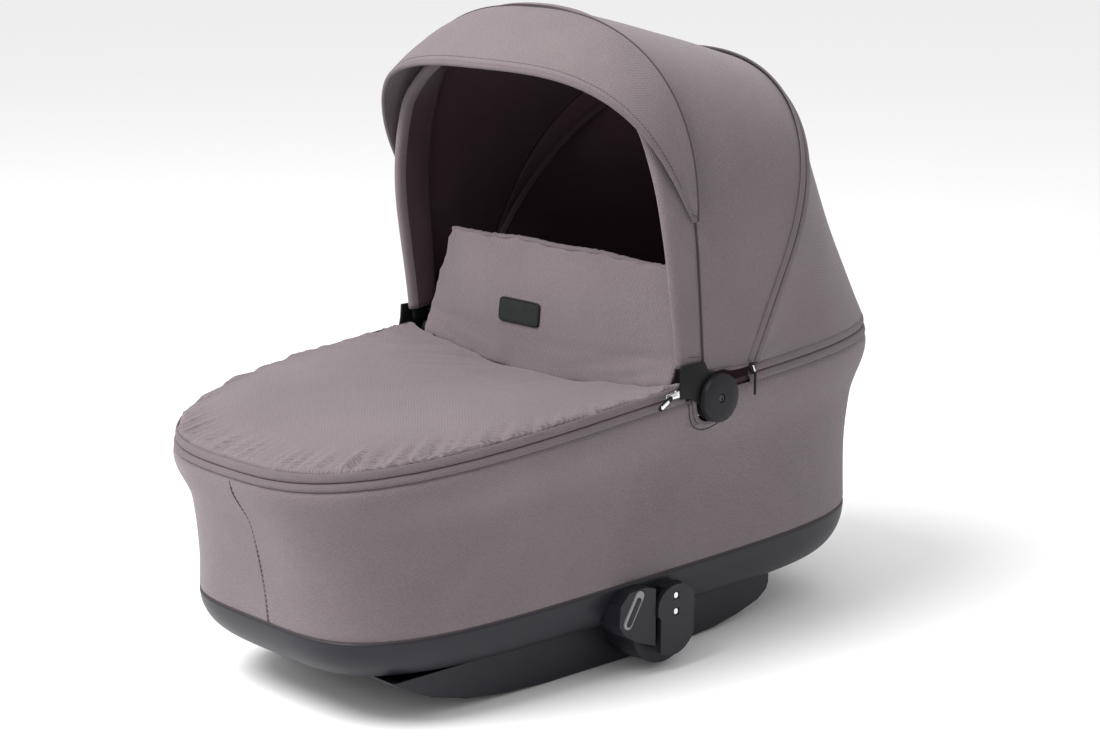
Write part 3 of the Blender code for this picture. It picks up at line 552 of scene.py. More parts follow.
# ---- the tub -----------------------------------------------------------------------------------
def notch(obj, radius):
    """Cuts the round opening for the hub through both sides of a wall."""
    bpy.ops.mesh.primitive_cylinder_add(vertices=96, radius=radius, depth=0.6, location=(0, HUB_Y, HUB_Z),
                                        rotation=(0, math.pi / 2, 0))
    cutter = bpy.context.object
    made = obj.modifiers.new("notch", "BOOLEAN")
    made.operation, made.solver, made.object = "DIFFERENCE", "EXACT", cutter
    applied(obj)
    bpy.data.objects.remove(cutter)


def wall_at(side, y, z):
    """The point of the tub's wall at that height and place along one flank."""
    level = (z - base_height(y)) / (rim_height(y) - base_height(y))
    low, high = -math.pi / 2, math.pi / 2
    for _ in range(30):
        middle = (low + high) / 2
        low, high = (middle, high) if wall_point(middle, level).y < y else (low, middle)
    point = wall_point((low + high) / 2, level)
    return Vector((side * point.x, point.y, point.z))


def make_tub_cover():
    """The fabric wall of the tub, tucked in at both edges, with an opening for each hub."""
    columns, levels = 288, [0.0, 0.012, 0.03] + steps(0.06, 0.90, 26) + [0.918, 0.932, 0.942, 0.950, COVER_TOP]
    rows = []
    for level in levels:
        tuck = 0.0022 * smooth(0.925, COVER_TOP, level) + 0.0012 * smooth(0.03, 0.0, level)
        row = []
        for i in range(columns):
            a = math.tau * i / columns
            ease = math.sin(math.pi * min(1.0, level / COVER_TOP))
            ripple = 0.0011 * noise.noise(Vector((math.cos(a) * 2.2, math.sin(a) * 3.0, level * 2.5))) * ease
            row.append(wall_point(a, level, FABRIC / 2 + tuck - ripple))
        rows.append(row)
    cover = grid("tub_cover", rows, closed=True, thickness=FABRIC)
    notch(cover, NOTCH_RADIUS)
    dress(cover, TAUPE, CLOTH, "tub")
    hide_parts("outer_cover")


def foot_seam_point(share):
    """A point of the seam down the foot end: 0 at the base and 1 under the zip."""
    level, x = 0.93 * share + 0.005, 0.021 - 0.013 * share
    half = wall_point(0.0, level).x
    power = BASE_POWER + (RIM_POWER - BASE_POWER) * level
    return wall_point(-math.acos((x / half) ** (power / 2)), level)


def make_cover_details():
    """The hem round each hub opening, the stitched foot seam and the shadow line at the base, with lines of
    painted shade along the fold round each opening and in the foot seam's groove.
    """
    def around(side, radius, proud, first, last):
        """The way round a hub opening, and the direction out of it at each point."""
        out = [(0, math.cos(a), math.sin(a)) for a in steps(math.radians(first), math.radians(last), 60)]
        return [wall_at(side, HUB_Y + radius * y, HUB_Z + radius * z) + Vector((side * proud, 0, 0))
                for _, y, z in out], out

    for side, word in SIDES:
        hem = band(f"hub_hem_{word}", *around(side, 0.0275, 0.0008, 178, 350), oval(0.0046, 0.0026))
        dress(hem, TAPE, CLOTH, "tub")
        # Painted shade: a dark line along the fold round each hub opening.
        seam_shade_line(f"hub_fold_shade_{word}", around(side, 0.0345, 0.0002, 184, 356)[0], 0.0006, "tub")
    seam = [foot_seam_point(share) + Vector((0, -0.0001, 0)) for share in steps(0.0, 1.0, 60)]
    # Painted shade: a thin dark line in the groove of the foot seam; the stitches beside it are thread.
    seam_shade_line("foot_seam", seam, 0.00028, "tub")
    beside = [p + Vector((0.0018, -0.0003, 0)) for p in seam]
    dress(stitches("foot_seam_stitches", beside, 0.0026, 0.0022, 0.0004), SEAM_SHADE_AND_THREAD, CLOTH, "tub")
    # Painted shadow: a dark ring where the foot of the cover meets the base pan.
    ring = [wall_point(math.tau * i / 240, 0.0, 0.0012) + Vector((0, 0, -0.0003)) for i in range(240)]
    seam_shade_line("base_edge_shadow_line", ring, 0.0011, "tub", closed=True)


def zip_run(name, first, last, body, node, on_wall):
    """One zip tape along the rim: a soft rounded strip whose edges cast the two dark lines of the zip."""
    count = max(60, int(abs(last - first) * 60))
    low, high = COVER_TOP + 0.003, 0.9955
    rows = []
    for share in steps(0.0, 1.0, 12):
        swell = 0.0011 * (1 - abs(2 * share - 1) ** 3.0)
        row = []
        for a in steps(first, last, count):
            wave = 0.00035 * noise.noise(Vector((a * 14, share * 2, 5.0)))
            if on_wall:
                row.append(wall_point(a, low + (high - COVER_TOP - 0.003) * share, FABRIC / 2 - swell - wave))
            else:
                row.append(rim_point(a, 0.0013 + 0.0074 * share, 0.0006 - swell - wave + 0.0010 * share))
        rows.append(row)
    tape = grid(name, rows, thickness=0.0013)
    dress(tape, TAPE, CLOTH, body)
    if node:
        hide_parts(node)


def make_rim_zip():
    """The zip round the rim: a tape above and below, and the dark line of the coil between them."""
    front_end, rear_end = rim_angle(ZIP_FOOT_Y), rim_angle(ZIP_HEAD_Y)
    foot, head = (-math.pi - front_end, front_end), (rear_end, math.pi - rear_end)
    zip_run("rim_tape_front", *foot, "tub", "zip_tape_front", True)
    zip_run("rim_tape_rear", *head, "tub", "zip_tape_rear", True)
    zip_run("hood_rim_tape", *head, "tub", None, False)
    zip_run("apron_tape", *foot, "apron", "apron_zip_tape", False)
    for name, (first, last) in (("rim_coil_front", foot), ("rim_coil_rear", head)):
        path = [rim_point(a, 0.0, 0.0008) for a in steps(first, last, 260)]
        coil = band(name, path, [(0, 0, 1)] * len(path), oval(0.0034, 0.0010))
        dress(coil, LINING, CLOTH, "tub")


def make_lining():
    """The dark inner lining, from the rim down to the mattress."""
    rows = []
    for level, inset in ((0.985, 0.0046), (0.95, 0.0075), (0.86, 0.0185), (0.78, 0.0185), (0.6, 0.0185),
                         (0.45, 0.0185), (0.3, 0.0185), (0.15, 0.0185), (0.06, 0.0185)):
        rows.append([wall_point(math.tau * i / 160, level, inset) for i in range(160)])
    for z, shrink in ((0.076, 0.022), (0.0640, 0.030), (0.0585, 0.040), (0.057, 0.052), (0.0565, 0.09),
                      (0.0565, 0.155)):
        half_x, half_y = BASE_HALF_WIDTH - shrink, BASE_HALF_LENGTH - shrink
        rows.append([Vector((*power_curve(math.tau * i / 160, half_x, half_y, BASE_POWER), z))
                     for i in range(160)])
    lining = grid("tub_lining", rows, closed=True, thickness=FABRIC)
    dress(lining, LINING, "dark_lining", "tub")
    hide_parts("inner_liner")


# ---- padded pieces -----------------------------------------------------------------------------
def puff(obj, voxel, pressure, cap, held=None):
    """Inflates a closed padded shape as cloth for a short time, then keeps the result. held picks the points
    that stay, and no other point moves further than cap."""
    remesh = obj.modifiers.new("remesh", "REMESH")
    remesh.mode, remesh.voxel_size, remesh.use_smooth_shade = "VOXEL", voxel, True
    applied(obj)
    rest = np.array([v.co for v in obj.data.vertices])
    cloth = obj.modifiers.new("cloth", "CLOTH")
    settings = cloth.settings
    settings.quality, settings.mass, settings.use_pressure = 5, 0.25, True
    settings.uniform_pressure_force = pressure
    settings.tension_stiffness = settings.compression_stiffness = 15
    settings.shear_stiffness, settings.bending_stiffness = 8, 0.4
    settings.effector_weights.gravity = 0
    cloth.collision_settings.use_collision = False
    cloth.point_cache.frame_start, cloth.point_cache.frame_end = 1, 20
    if held:
        group = obj.vertex_groups.new(name="held")
        group.add([i for i, p in enumerate(rest) if held(p)], 1.0, "REPLACE")
        settings.vertex_group_mass = "held"
    for number in range(1, 21):
        bpy.context.scene.frame_set(number)
    graph = bpy.context.evaluated_depsgraph_get()
    posed = obj.evaluated_get(graph).data
    moved = np.array([v.co for v in posed.vertices])
    obj.modifiers.clear()
    obj.vertex_groups.clear()
    bpy.context.scene.frame_set(1)
    step = moved - rest
    length = np.linalg.norm(step, axis=1, keepdims=True)
    step *= np.minimum(1.0, cap / np.maximum(length, 1e-9))
    obj.data.vertices.foreach_set("co", (rest + step).astype(np.float32).ravel())
    smoother = obj.modifiers.new("subdivision", "SUBSURF")
    smoother.levels = smoother.render_levels = 1
    applied(obj)
    obj.data.shade_smooth()


def move_points(obj, change):
    """Moves each point of a mesh by change(point)."""
    points = np.array([v.co for v in obj.data.vertices])
    shifted = np.array([tuple(Vector(p) + change(Vector(p))) for p in points], np.float32)
    obj.data.vertices.foreach_set("co", shifted.ravel())
    obj.data.update()


APRON_REAR, APRON_EDGE, APRON_LIFT, CROWN, SAG = 0.0015, 0.0014, 0.0066, 0.012, 0.024


def apron_surface(x, y):
    """Height of the apron's middle layer: crowned at the foot, sagging between the rails towards the flap."""
    half = RIM_HALF_WIDTH * (1 - min(0.999, abs(y) / RIM_HALF_LENGTH) ** RIM_POWER) ** (1 / RIM_POWER)
    out = min(1.0, abs(x) / max(half, 1e-4))
    rear = smooth(-0.22, 0.0, y)
    crown = CROWN * (1 - rear) * (1 - out ** 4) - SAG * rear * (1 - out ** 2)
    return rim_height(y) + APRON_LIFT + crown * smooth(-RIM_HALF_LENGTH, -RIM_HALF_LENGTH + 0.12, y)


def make_apron():
    """The padded foot cover."""
    half_length, half_width = RIM_HALF_LENGTH - APRON_EDGE, RIM_HALF_WIDTH - APRON_EDGE
    rows = []
    for step in range(61):
        along = (1 - math.cos(math.pi / 2 * step / 60)) * 0.9999
        y = -half_length + (APRON_REAR + half_length) * along + 0.00004
        half = half_width * (1 - (abs(y) / half_length) ** RIM_POWER) ** (1 / RIM_POWER)
        across = [half * math.sin(u * math.pi / 2) for u in steps(-1.0, 1.0, 64)]
        rows.append([Vector((x, y, apron_surface(x, y))) for x in across])
    apron = grid("apron_pad", rows, thickness=0.0100)

    def edge_distance(p):
        reach = (abs(p[0]) / half_width) ** RIM_POWER + (min(0.0, p[1]) / -half_length) ** RIM_POWER
        return (1 - reach ** (1 / RIM_POWER)) * RIM_HALF_WIDTH

    puff(apron, 0.0055, 3.5, 0.006, held=lambda p: edge_distance(p) < 0.006 or p[1] > -0.006)

    def gather(p):
        """Short puckers where the pad is sewn to its tape, and broad soft folds behind them."""
        away = max(0.0, edge_distance(p))
        along = math.atan2(p.y / RIM_HALF_LENGTH, p.x / RIM_HALF_WIDTH)
        pucker = noise.noise(Vector((along * 30, 0.3, 0.0))) + 0.7 * noise.noise(Vector((along * 61, 7.3, 0.0)))
        patch = 0.45 + 0.8 * abs(noise.noise(Vector((along * 5, 1.1, 4.0))))
        strength = math.exp(-((away - 0.007) / 0.011) ** 2) * smooth(0.0, 0.004, away) * patch
        fold = noise.noise(Vector((p.x * 6 + p.y * 3, p.y * 9, 3.0))) * smooth(0.0, 0.06, away)
        rise = 0.0056 * pucker * strength + 0.0030 * fold
        rear = 0.0014 * math.sin(p.x * 55 + 2) * math.exp(-((p.y + 0.012) / 0.02) ** 2)
        return Vector((0, 0, rise + rear))

    move_points(apron, gather)
    dress(apron, TAUPE_PAD, CLOTH, "apron")
    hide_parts("apron_pad")


FLAP_HALF_WIDTH, FLAP_FOOT_Y = 0.186, -0.003


def flap_half(z):
    """Half width of the wind flap at a height."""
    return FLAP_HALF_WIDTH - 0.022 * smooth(0.30, 0.41, z)


def make_flap():
    """The padded wind flap, with its bound top edge."""
    rows = []
    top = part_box("wind_flap")[1][2] - 0.004

    def wave(u):
        """How far the top edge lies below the flap's full height."""
        return -0.004 * u * u - 0.0008 * math.sin(u * 9 + 1)

    for share in steps(0.0, 1.0, 34):
        row = []
        for u in steps(-1.0, 1.0, 72):
            low = apron_surface(FLAP_HALF_WIDTH * u, FLAP_FOOT_Y) - 0.0010
            crest = top + 0.0026 + wave(u)
            z = low + (crest - low) * share
            bulge = 0.006 * (1 - u * u) * math.sin(math.pi * min(1.0, share * 1.15))
            y = 0.0030 + 0.0085 * min(1.0, 4 * share) + 0.011 * share - bulge + 0.004 * u * u * share
            row.append(Vector((flap_half(z) * u, y, z)))
        rows.append(row)
    flap = grid("wind_flap", rows, thickness=0.0060)

    def sewn(p):
        """True round the flap's edges, where its layers are sewn together."""
        return (p[2] < apron_surface(p[0], FLAP_FOOT_Y) + 0.005 or abs(p[0]) > flap_half(p[2]) - 0.007
                or p[2] > top - 0.006 - 0.004 * (p[0] / 0.16) ** 2)

    puff(flap, 0.0045, 3.0, 0.0028, held=sewn)

    def crease(p):
        low = math.exp(-((p.z - 0.275) / 0.022) ** 2)
        return Vector((0, 0.0016 * noise.noise(Vector((p.x * 26, p.z * 12, 2.0))) * (0.35 + low), 0))

    move_points(flap, crease)
    dress(flap, TAUPE_PAD, CLOTH)
    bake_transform(flap)
    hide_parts("wind_flap")
    rim = [Vector((0.1625 * u, 0.0225 + 0.004 * u * u + 0.0006 * math.sin(u * 31),
                   top + 0.0008 + wave(u) + 0.0011 * noise.noise(Vector((u * 34, 0.0, 8.0)))))
           for u in steps(-1.0, 1.0, 160)]
    dress(tube("flap_binding", rim, 0.0028, sides=12), TAPE, CLOTH, "flap")
    make_badge(flap)


def make_badge(flap):
    """The blank woven badge, laid on the flap's face."""
    low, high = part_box("flap_badge")
    tree = BVHTree.FromPolygons([v.co for v in flap.data.vertices], [f.vertices for f in flap.data.polygons])
    half_x, half_z = (high[0] - low[0]) / 2, 0.0125
    middle_x, middle_z = (low[0] + high[0]) / 2, (low[2] + high[2]) / 2

    def on_flap(x, z, proud):
        hit = tree.ray_cast(Vector((x, -0.1, z)), Vector((0, 1, 0)))[0]
        return Vector((x, (hit.y if hit else low[1]) - proud, z))

    def ring(share, proud):
        outline = (power_curve(math.tau * i / 72, half_x, half_z, 9.0) for i in range(72))
        return [on_flap(middle_x + x * share, middle_z + z * share, proud) for x, z in outline]

    rows = [ring(share, 0.0019) for share in (0.02, 0.35, 0.70, 0.95)] + [ring(1.0, 0.0014), ring(1.0, 0.0005)]
    badge = grid("flap_badge", rows + [ring(0.5, 0.0005)], closed=True, caps=True)
    weld(badge)
    dress(badge, BADGE, "black_plastic", "flap")
    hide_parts("flap_badge")
    border = [on_flap(middle_x + x * 0.965, middle_z + z * 0.92, 0.0019) for x, z in
              (power_curve(math.tau * i / 96, half_x, half_z, 9.0) for i in range(96))]
    dress(tube("flap_badge_border", border, 0.0005, closed=True), BLACK, "black_plastic", "flap")


def make_mattress():
    """The mattress in the tub."""
    rows = []
    low, high = MATTRESS_LOW, MATTRESS_HIGH
    half_x, half_y = high[0], high[1]
    for z, cut in ((low[2], 0.012), (low[2] + 0.003, 0.003), (low[2] + 0.010, 0.0), (high[2] - 0.010, 0.0),
                   (high[2] - 0.003, 0.003), (high[2], 0.012)):
        rows.append([Vector((*power_curve(math.tau * i / 72, half_x - cut, half_y - cut, 3.6), z))
                     for i in range(72)])
    pad = grid("mattress", rows, closed=True, caps=True)
    weld(pad)
    puff(pad, 0.006, 2.0, 0.003)
    dress(pad, QUILT, "foam", "tub")
    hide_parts("mattress")


# ---- the hood ----------------------------------------------------------------------------------
def set_turn(obj, share):
    """Works out how far each point of a blended panel would follow the second body, from its place on the
    panel; the values are not kept.
    """
    values = np.array([share(v.co) for v in obj.data.vertices], np.float32)


def angle_of(point):
    return math.degrees(math.atan2(point.z - HUB_Z, point.y - HUB_Y))


def zip_angle(p):
    """The angle at which the zip lies, at a point's distance from the hubs."""
    away = math.hypot(p.y - HUB_Y, p.z - HUB_Z)
    reach = max(0.0, away - ZIP_NEAR) / ZIP_REACH
    return ZIP_LOW_ANGLE + (ZIP_HIGH_ANGLE - ZIP_LOW_ANGLE) * min(1.0, reach ** ZIP_BEND)


def main_share(p):
    """0 at the zip, which follows the rear bow, and 1 at the front bow."""
    rear = zip_angle(p)
    return (angle_of(p) - rear) / (FRONT_ANGLE - rear)


def rear_share(p):
    """0 at the rim, which follows the tub, and 1 at the zip."""
    away = max(math.hypot(p.y - HUB_Y, p.z - HUB_Z), 0.05)
    ground = math.degrees(math.asin(max(-1, min(1, (rim_height(p.y) + HEM_RISE - HUB_Z) / away))))
    return (angle_of(p) - ground) / max(4.0, zip_angle(p) - ground)


def make_hood():
    """The main panel and the rear panel, each with its lining, which lies inside its surface."""
    main = (hood_main, main_share, "rear_bow", "front_bow", HOOD_ZIP_MIDDLE, HOOD_FRONT_MIDDLE,
            ["front_bow", "rear_bow"])
    rear = (hood_rear, rear_share, "tub", "rear_bow", HOOD_RIM_MIDDLE, HOOD_ZIP_MIDDLE,
            ["rear_bow", "rim_frame"])
    for name, sheet, material, slot, out, low, high, nodes in (
            ("hood_main", main, TAUPE, CLOTH, 0.0, 0.0, 0.975, ("hood_panel_front", "hood_panel_rear")),
            ("hood_main_lining", main, LINING, "dark_lining", LINING_GAP, 0.0, 1.0, ()),
            ("hood_rear", rear, TAUPE, CLOTH, 0.0, 0.030, 1.0, ("hood_rear_panel",)),
            ("hood_rear_lining", rear, LINING, "dark_lining", REAR_LINING_GAP, 0.0, 1.0, ())):
        surface, share, first, second, first_middle, second_middle, rests_on = sheet
        rows = [[surface(u, s, out) for u in steps(0.0, 1.0, 150)] for s in steps(low, high, 40)]
        obj = grid(name, rows, thickness=FABRIC)
        dress(obj, material, slot)
        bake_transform(obj)
        set_turn(obj, lambda p: share(p - outward(p) * out))
        if nodes:
            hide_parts(*nodes)


def make_hood_hem():
    """The turned-up hem of the main panel, which rolls and tucks above each hub."""
    for side, word in SIDES:
        rows = []
        for t in steps(0.0, 1.0, 40):
            y = HUB_Y - 0.0115 + 0.0600 * t
            z = HUB_Z + 0.0300 - 0.0035 * t - 0.0015 * math.sin(math.pi * t)
            swell = 1.0 + 0.35 * math.sin(t * 9 + 1) * math.sin(math.pi * t)
            row = []
            for a in (math.tau * k / 20 for k in range(20)):
                crease = 0.0012 * noise.noise(Vector((t * 6, math.cos(a), math.sin(a))))
                row.append(Vector((side * (0.2055 + 0.0034 * swell * math.cos(a)), y,
                                   z + 0.0042 * swell * math.sin(a) + crease)))
            rows.append(row)
        hem = grid(f"hood_hem_{word}", rows, closed=True, caps=True)
        weld(hem)
        dress(hem, TAUPE, CLOTH)
        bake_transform(hem)
        set_turn(hem, main_share)


def make_hood_zip():
    """The long zip over the hood: a tape on each side of a dark coil line, all on the rear bow."""
    along = steps(0.0, 1.0, 220)
    path = [rear_arch(u) for u in along]
    to_rim = [(hood_rear(u, 0.04) - hood_main(u, 0.96)).normalized() for u in along]
    for name, shift, width, lift, material in (("hood_zip_tape_front", -0.0050, 0.0084, 0.0004, TAPE),
                                               ("hood_zip_tape_rear", 0.0050, 0.0084, 0.0004, TAPE),
                                               ("hood_zip_coil", 0.0, 0.0030, -0.0009, SEAM_SHADE_AND_THREAD)):
        shifted = [p + d * shift + outward(p) * lift for p, d in zip(path, to_rim)]
        strip = band(name, shifted, to_rim, oval(width, 0.0022))
        dress(strip, material, CLOTH, "rear_bow")


def bow_frame(u, hem=SLEEVE_HEM):
    """Along the front bow: the middle of its sleeve, the width direction (ahead) and the outward direction. The
    sleeve turns at the top to lie under the visor."""
    x, h = arch(u, *FRONT_ARCH)
    h = max(h, hem)
    a = math.radians(FRONT_ANGLE)
    plane_out = Vector((0, math.cos(a), math.sin(a)))
    ahead = Vector((0, -math.sin(a), math.cos(a)))
    near, far = (arch(at, *FRONT_ARCH) for at in (max(0.0, u - 0.004), min(1.0, u + 0.004)))
    along = Vector((far[0] - near[0], 0, 0)) + plane_out * (far[1] - near[1])
    along.normalize()
    out = ahead.cross(along).normalized()
    if out.dot(Vector((x, 0, 0)) + plane_out * max(0.0, h - 0.12)) < 0:
        out = -out
    tilt = math.radians(34) * smooth(0.26, 0.36, h)
    width_way = (ahead * math.cos(tilt) - out * math.sin(tilt)).normalized()
    out = (out * math.cos(tilt) + ahead * math.sin(tilt)).normalized()
    point = Vector((x, HUB_Y, HUB_Z)) + plane_out * h + ahead * seam_ahead(h)
    return point, width_way, out, h


ARCH_SAMPLES = [(u, arch(u, *SLEEVE_CORE)) for u in steps(0.0, 1.0, 400)]


def nearest_share(point):
    """The place along the front bow that is nearest to a point."""
    a = math.radians(FRONT_ANGLE)
    height = (point.y - HUB_Y) * math.cos(a) + (point.z - HUB_Z) * math.sin(a)
    return min(ARCH_SAMPLES, key=lambda s: (s[1][0] - point.x) ** 2 + (s[1][1] - height) ** 2)[0]


def sleeve_half(h):
    """Half width of the sleeve at a height: narrow at the hem."""
    return 0.0138 + 0.0042 * smooth(0.03, 0.20, h)


def make_sleeve():
    """The fabric sleeve on the front bow, with its hem, and the seam to the main panel."""
    rows, first = [], 0.0375
    for u in steps(first, 1 - first, 190):
        point, ahead, out, h = bow_frame(u)
        half, ring = sleeve_half(h), []
        for k in range(28):
            t = math.tau * k / 28
            c, s = math.cos(t), math.sin(t)
            w = half - 0.0040 + (half + 0.0040) * math.copysign(abs(c) ** 0.6, c)
            ripple = 0.0007 * noise.noise(Vector((u * 30, c * 1.2, s * 1.2)))
            depth = -SLEEVE_DEPTH + (0.0060 + ripple) * math.copysign(abs(s) ** 0.75, s)
            ring.append(point + ahead * w + out * depth)
        rows.append(ring)
    sleeve = grid("bow_sleeve", rows, closed=True, thickness=0.0012)
    dress(sleeve, TAUPE, CLOTH, "front_bow")
    sleeve.data.materials.append(LINING)
    for face in sleeve.data.polygons:
        point, ahead, out, h = bow_frame(nearest_share(face.center))
        away = face.center - point
        if away.dot(out) < -0.0092 and away.dot(ahead) < 1.55 * sleeve_half(h):
            face.material_index = 1
    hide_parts("front_sleeve")
    # Painted shade: a dark line along the seam between the sleeve and the main panel.
    seam = [front_arch(u) + outward(front_arch(u)) * 0.0002 for u in steps(0.032, 0.968, 220)]
    seam_shade_line("front_seam", seam, 0.0009, "front_bow")
    for side, word in SIDES:
        point, ahead, out, h = bow_frame(first if side == RIGHT else 1 - first)
        line = [point + ahead * (sleeve_half(h) * (1 + t)) + Vector((side * 0.0004, 0, 0.0085 + 0.0030 * t))
                for t in steps(-0.80, 0.70, 20)]
        dress(stitches(f"sleeve_hem_stitches_{word}", line, 0.0024, 0.0010, 0.00034), SEAM_SHADE_AND_THREAD, CLOTH, "front_bow")


def make_bow():
    """The front bow: a flat black blade inside the sleeve, and the moulded arm that joins it to each hub."""
    path, ways = [], []
    for u in steps(0.020, 0.980, 120):
        point, ahead, out, h = bow_frame(u, 0.020)
        path.append(point + ahead * sleeve_half(h) - out * SLEEVE_DEPTH)
        ways.append(ahead)
    blade = band("bow_blade", path, ways, oval(0.022, 0.0040))
    dress(blade, BLACK, "black_plastic", "front_bow")
    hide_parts("front_bow")
    for side, word in SIDES:
        arm = [(-0.0075, 0.3120), (-0.0085, 0.2980), (-0.0115, 0.2850), (-0.0080, 0.2800), (0.0060, 0.2780)]
        arm += [(HUB_Y + 0.0228 * math.cos(a), HUB_Z + 0.0228 * math.sin(a))
                for a in steps(math.radians(190), math.radians(420), 40)]
        arm += [(0.0380, 0.2985), (0.0280, 0.3030), (0.0235, 0.3120)]
        skirt = [(0.1985, 0.0), (0.1985, 0.0205), (0.2040, 0.0222), (0.2075, 0.0236), (0.2088, 0.0232),
                 (0.2088, 0.0)]
        face = [(0.2128, 0.0), (0.2128, 0.0232), (0.2135, 0.0240), (0.2176, 0.0240), (0.2188, 0.0236),
                (0.2193, 0.0226), (0.2196, 0.0120), (0.2197, 0.0046), (0.2190, 0.0040), (0.2176, 0.0039),
                (0.2174, 0.0)]
        screw = [(0.2175, 0.0), (0.2175, 0.0036), (0.2184, 0.0036), (0.2188, 0.0031), (0.2188, 0.0019),
                 (0.2181, 0.0017), (0.2181, 0.0)]
        dress(plate(f"hub_arm_{word}", arm, side, 0.2090, 0.2122, 0.0009), BLACK, "black_plastic", "front_bow")
        dress(turned(f"hub_skirt_{word}", side, skirt), BLACK, "black_plastic", "front_bow")
        cover = dress(turned(f"hub_face_{word}", side, face), HUB_BLACK, "charcoal_plastic", "front_bow")
        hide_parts(f"hub_cover_{word}")
        head = dress(turned(f"hub_screw_head_{word}", side, screw), DARK_STEEL, "steel", "front_bow")
        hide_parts(f"hub_screw_{word}")


def inward(point):
    """The direction from the visor's seam towards the inside of the hood."""
    return Vector((-point.x, 0, HUB_Z + 0.15 - point.z)).normalized()


def make_visor():
    """The visor with its lining, the bound wire along its edge, its stitches and its seam to the hood."""
    along = steps(0.004, 0.996, 150)
    seam = [visor_point(u, 0.0) for u in along]
    rows = [[point + inward(point) * tuck for point in seam] for tuck in (0.0110, 0.0050)]
    rows += [[visor_point(u, s, 0.0) for u in along] for s in steps(0.0, 1.0, 24)]
    visor = grid("visor", rows, thickness=FABRIC)
    dress(visor, TAUPE, CLOTH, "front_bow")
    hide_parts("visor_panel")
    rows = [[visor_point(u, s, -0.0034) for u in steps(0.01, 0.99, 150)] for s in steps(0.02, 0.985, 24)]
    inner = grid("visor_lining", rows, thickness=0.0012)
    dress(inner, TAUPE, CLOTH, "front_bow")
    edge = [visor_point(u, 1.0, -0.0012) for u in steps(0.0, 1.0, 240)]
    binding = tube("visor_binding", edge, 0.0026, sides=12)
    dress(binding, TAPE, CLOTH, "front_bow")
    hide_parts("visor_wire")
    line = [visor_point(u, 0.93, 0.0011) for u in steps(0.03, 0.97, 240)]
    dress(stitches("visor_stitches", line, 0.0026, 0.0014, 0.00026), SEAM_SHADE_AND_THREAD, CLOTH, "front_bow")
    # Painted shade: a dark line along the seam between the visor and the hood.
    seam = [visor_point(u, 0.0, 0.0004) for u in steps(0.0, 1.0, 240)]
    seam_shade_line("visor_seam", seam, 0.0010, "front_bow")


# ---- moulded parts and hardware ----------------------------------------------------------------
def rounded_prism(name, points, bevel, segments):
    """A flat part with rounded edges, from the points round one face and then those round the other."""
    count = len(points) // 2
    faces = [tuple(range(count)), tuple(reversed(range(count, 2 * count)))]
    faces += [(k, (k + 1) % count, count + (k + 1) % count, count + k) for k in range(count)]
    made = add_mesh(name, points, faces)
    weld(made)
    edges = made.modifiers.new("edges", "BEVEL")
    edges.width, edges.segments, edges.limit_method = bevel, segments, "ANGLE"
    edges.angle_limit = math.radians(30)
    applied(made)
    made.data.set_sharp_from_angle(angle=math.radians(40))
    return made


def plate(name, outline, side, low, high, bevel):
    """A plate across the tub: an outline of (y, z) points between two distances from the middle."""
    return rounded_prism(name, [(side * x, y, z) for x in (low, high) for y, z in outline], bevel, 3)


def turned(name, side, profile, count=64):
    """A shape turned about the hubs' line, from (distance, radius) pairs that start and end at radius 0."""
    circle = [(math.cos(math.tau * i / count), math.sin(math.tau * i / count)) for i in range(count)]
    points = [(side * profile[0][0], HUB_Y, HUB_Z), (side * profile[-1][0], HUB_Y, HUB_Z)]
    rings = profile[1:-1]
    for x, radius in rings:
        points += [(side * x, HUB_Y + radius * c, HUB_Z + radius * s) for c, s in circle]
    faces = [(0, 2 + i, 2 + (i + 1) % count) for i in range(count)]
    for r in range(len(rings) - 1):
        a, b = 2 + r * count, 2 + (r + 1) * count
        faces += [(a + i, b + i, b + (i + 1) % count, a + (i + 1) % count) for i in range(count)]
    last = 2 + (len(rings) - 1) * count
    faces += [(1, last + (i + 1) % count, last + i) for i in range(count)]
    made = add_mesh(name, points, faces)
    weld(made)
    made.data.set_sharp_from_angle(angle=math.radians(38))
    return made


def make_base():
    """The moulded pan, with a rounded edge all round."""
    rows = []
    for turn in [math.radians(a) for a in steps(0, 90, 22)]:
        shrink = BASE_INSET * (1 - math.cos(turn)) + 0.0015
        half_x, half_y = BASE_HALF_WIDTH - shrink, BASE_HALF_LENGTH - shrink
        row = []
        for i in range(240):
            x, y = power_curve(math.tau * i / 240, half_x, half_y, BASE_POWER)
            edge = base_height(y) - 0.0006
            row.append(Vector((x, y, edge - (edge - BASE_FLOOR - 0.0015) * math.sin(turn))))
        rows.append(row)
    for share in (0.75, 0.4, 0.1):
        rows.append([Vector((p.x * share, p.y * share, BASE_FLOOR + 0.0015)) for p in rows[22]])
    pan = grid("base_pan", rows, closed=True, thickness=0.0028)
    dress(pan, CHARCOAL, "charcoal_plastic", "tub")
    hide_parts("base_shell")


def centre(node):
    """The middle of a CAD node's box."""
    low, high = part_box(node)
    return Vector([(a + b) / 2 for a, b in zip(low, high)])


def fitting(name, outline, thickness, place, turn, look, body, node=None, bevel=0.0006):
    """A small flat part, made in its own plane and put in place. look is its material and slot, and node is the
    CAD node that it replaces."""
    at = Matrix.Translation(place) @ turn.to_4x4()
    points = [at @ Vector((x, z, h)) for h in (-thickness / 2, thickness / 2) for x, z in outline]
    part = rounded_prism(name, points, bevel, 2)
    dress(part, *look, body)
    if node:
        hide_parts(node)


def capsule(length, width, count=10):
    """A rounded outline that runs from 0 to -length."""
    half = width / 2
    ends = [(half * math.cos(a), -half + half * math.sin(a)) for a in steps(0.0, math.pi, count)]
    ends += [(half * math.cos(a), half - length + half * math.sin(a)) for a in steps(math.pi, math.tau, count)]
    return ends


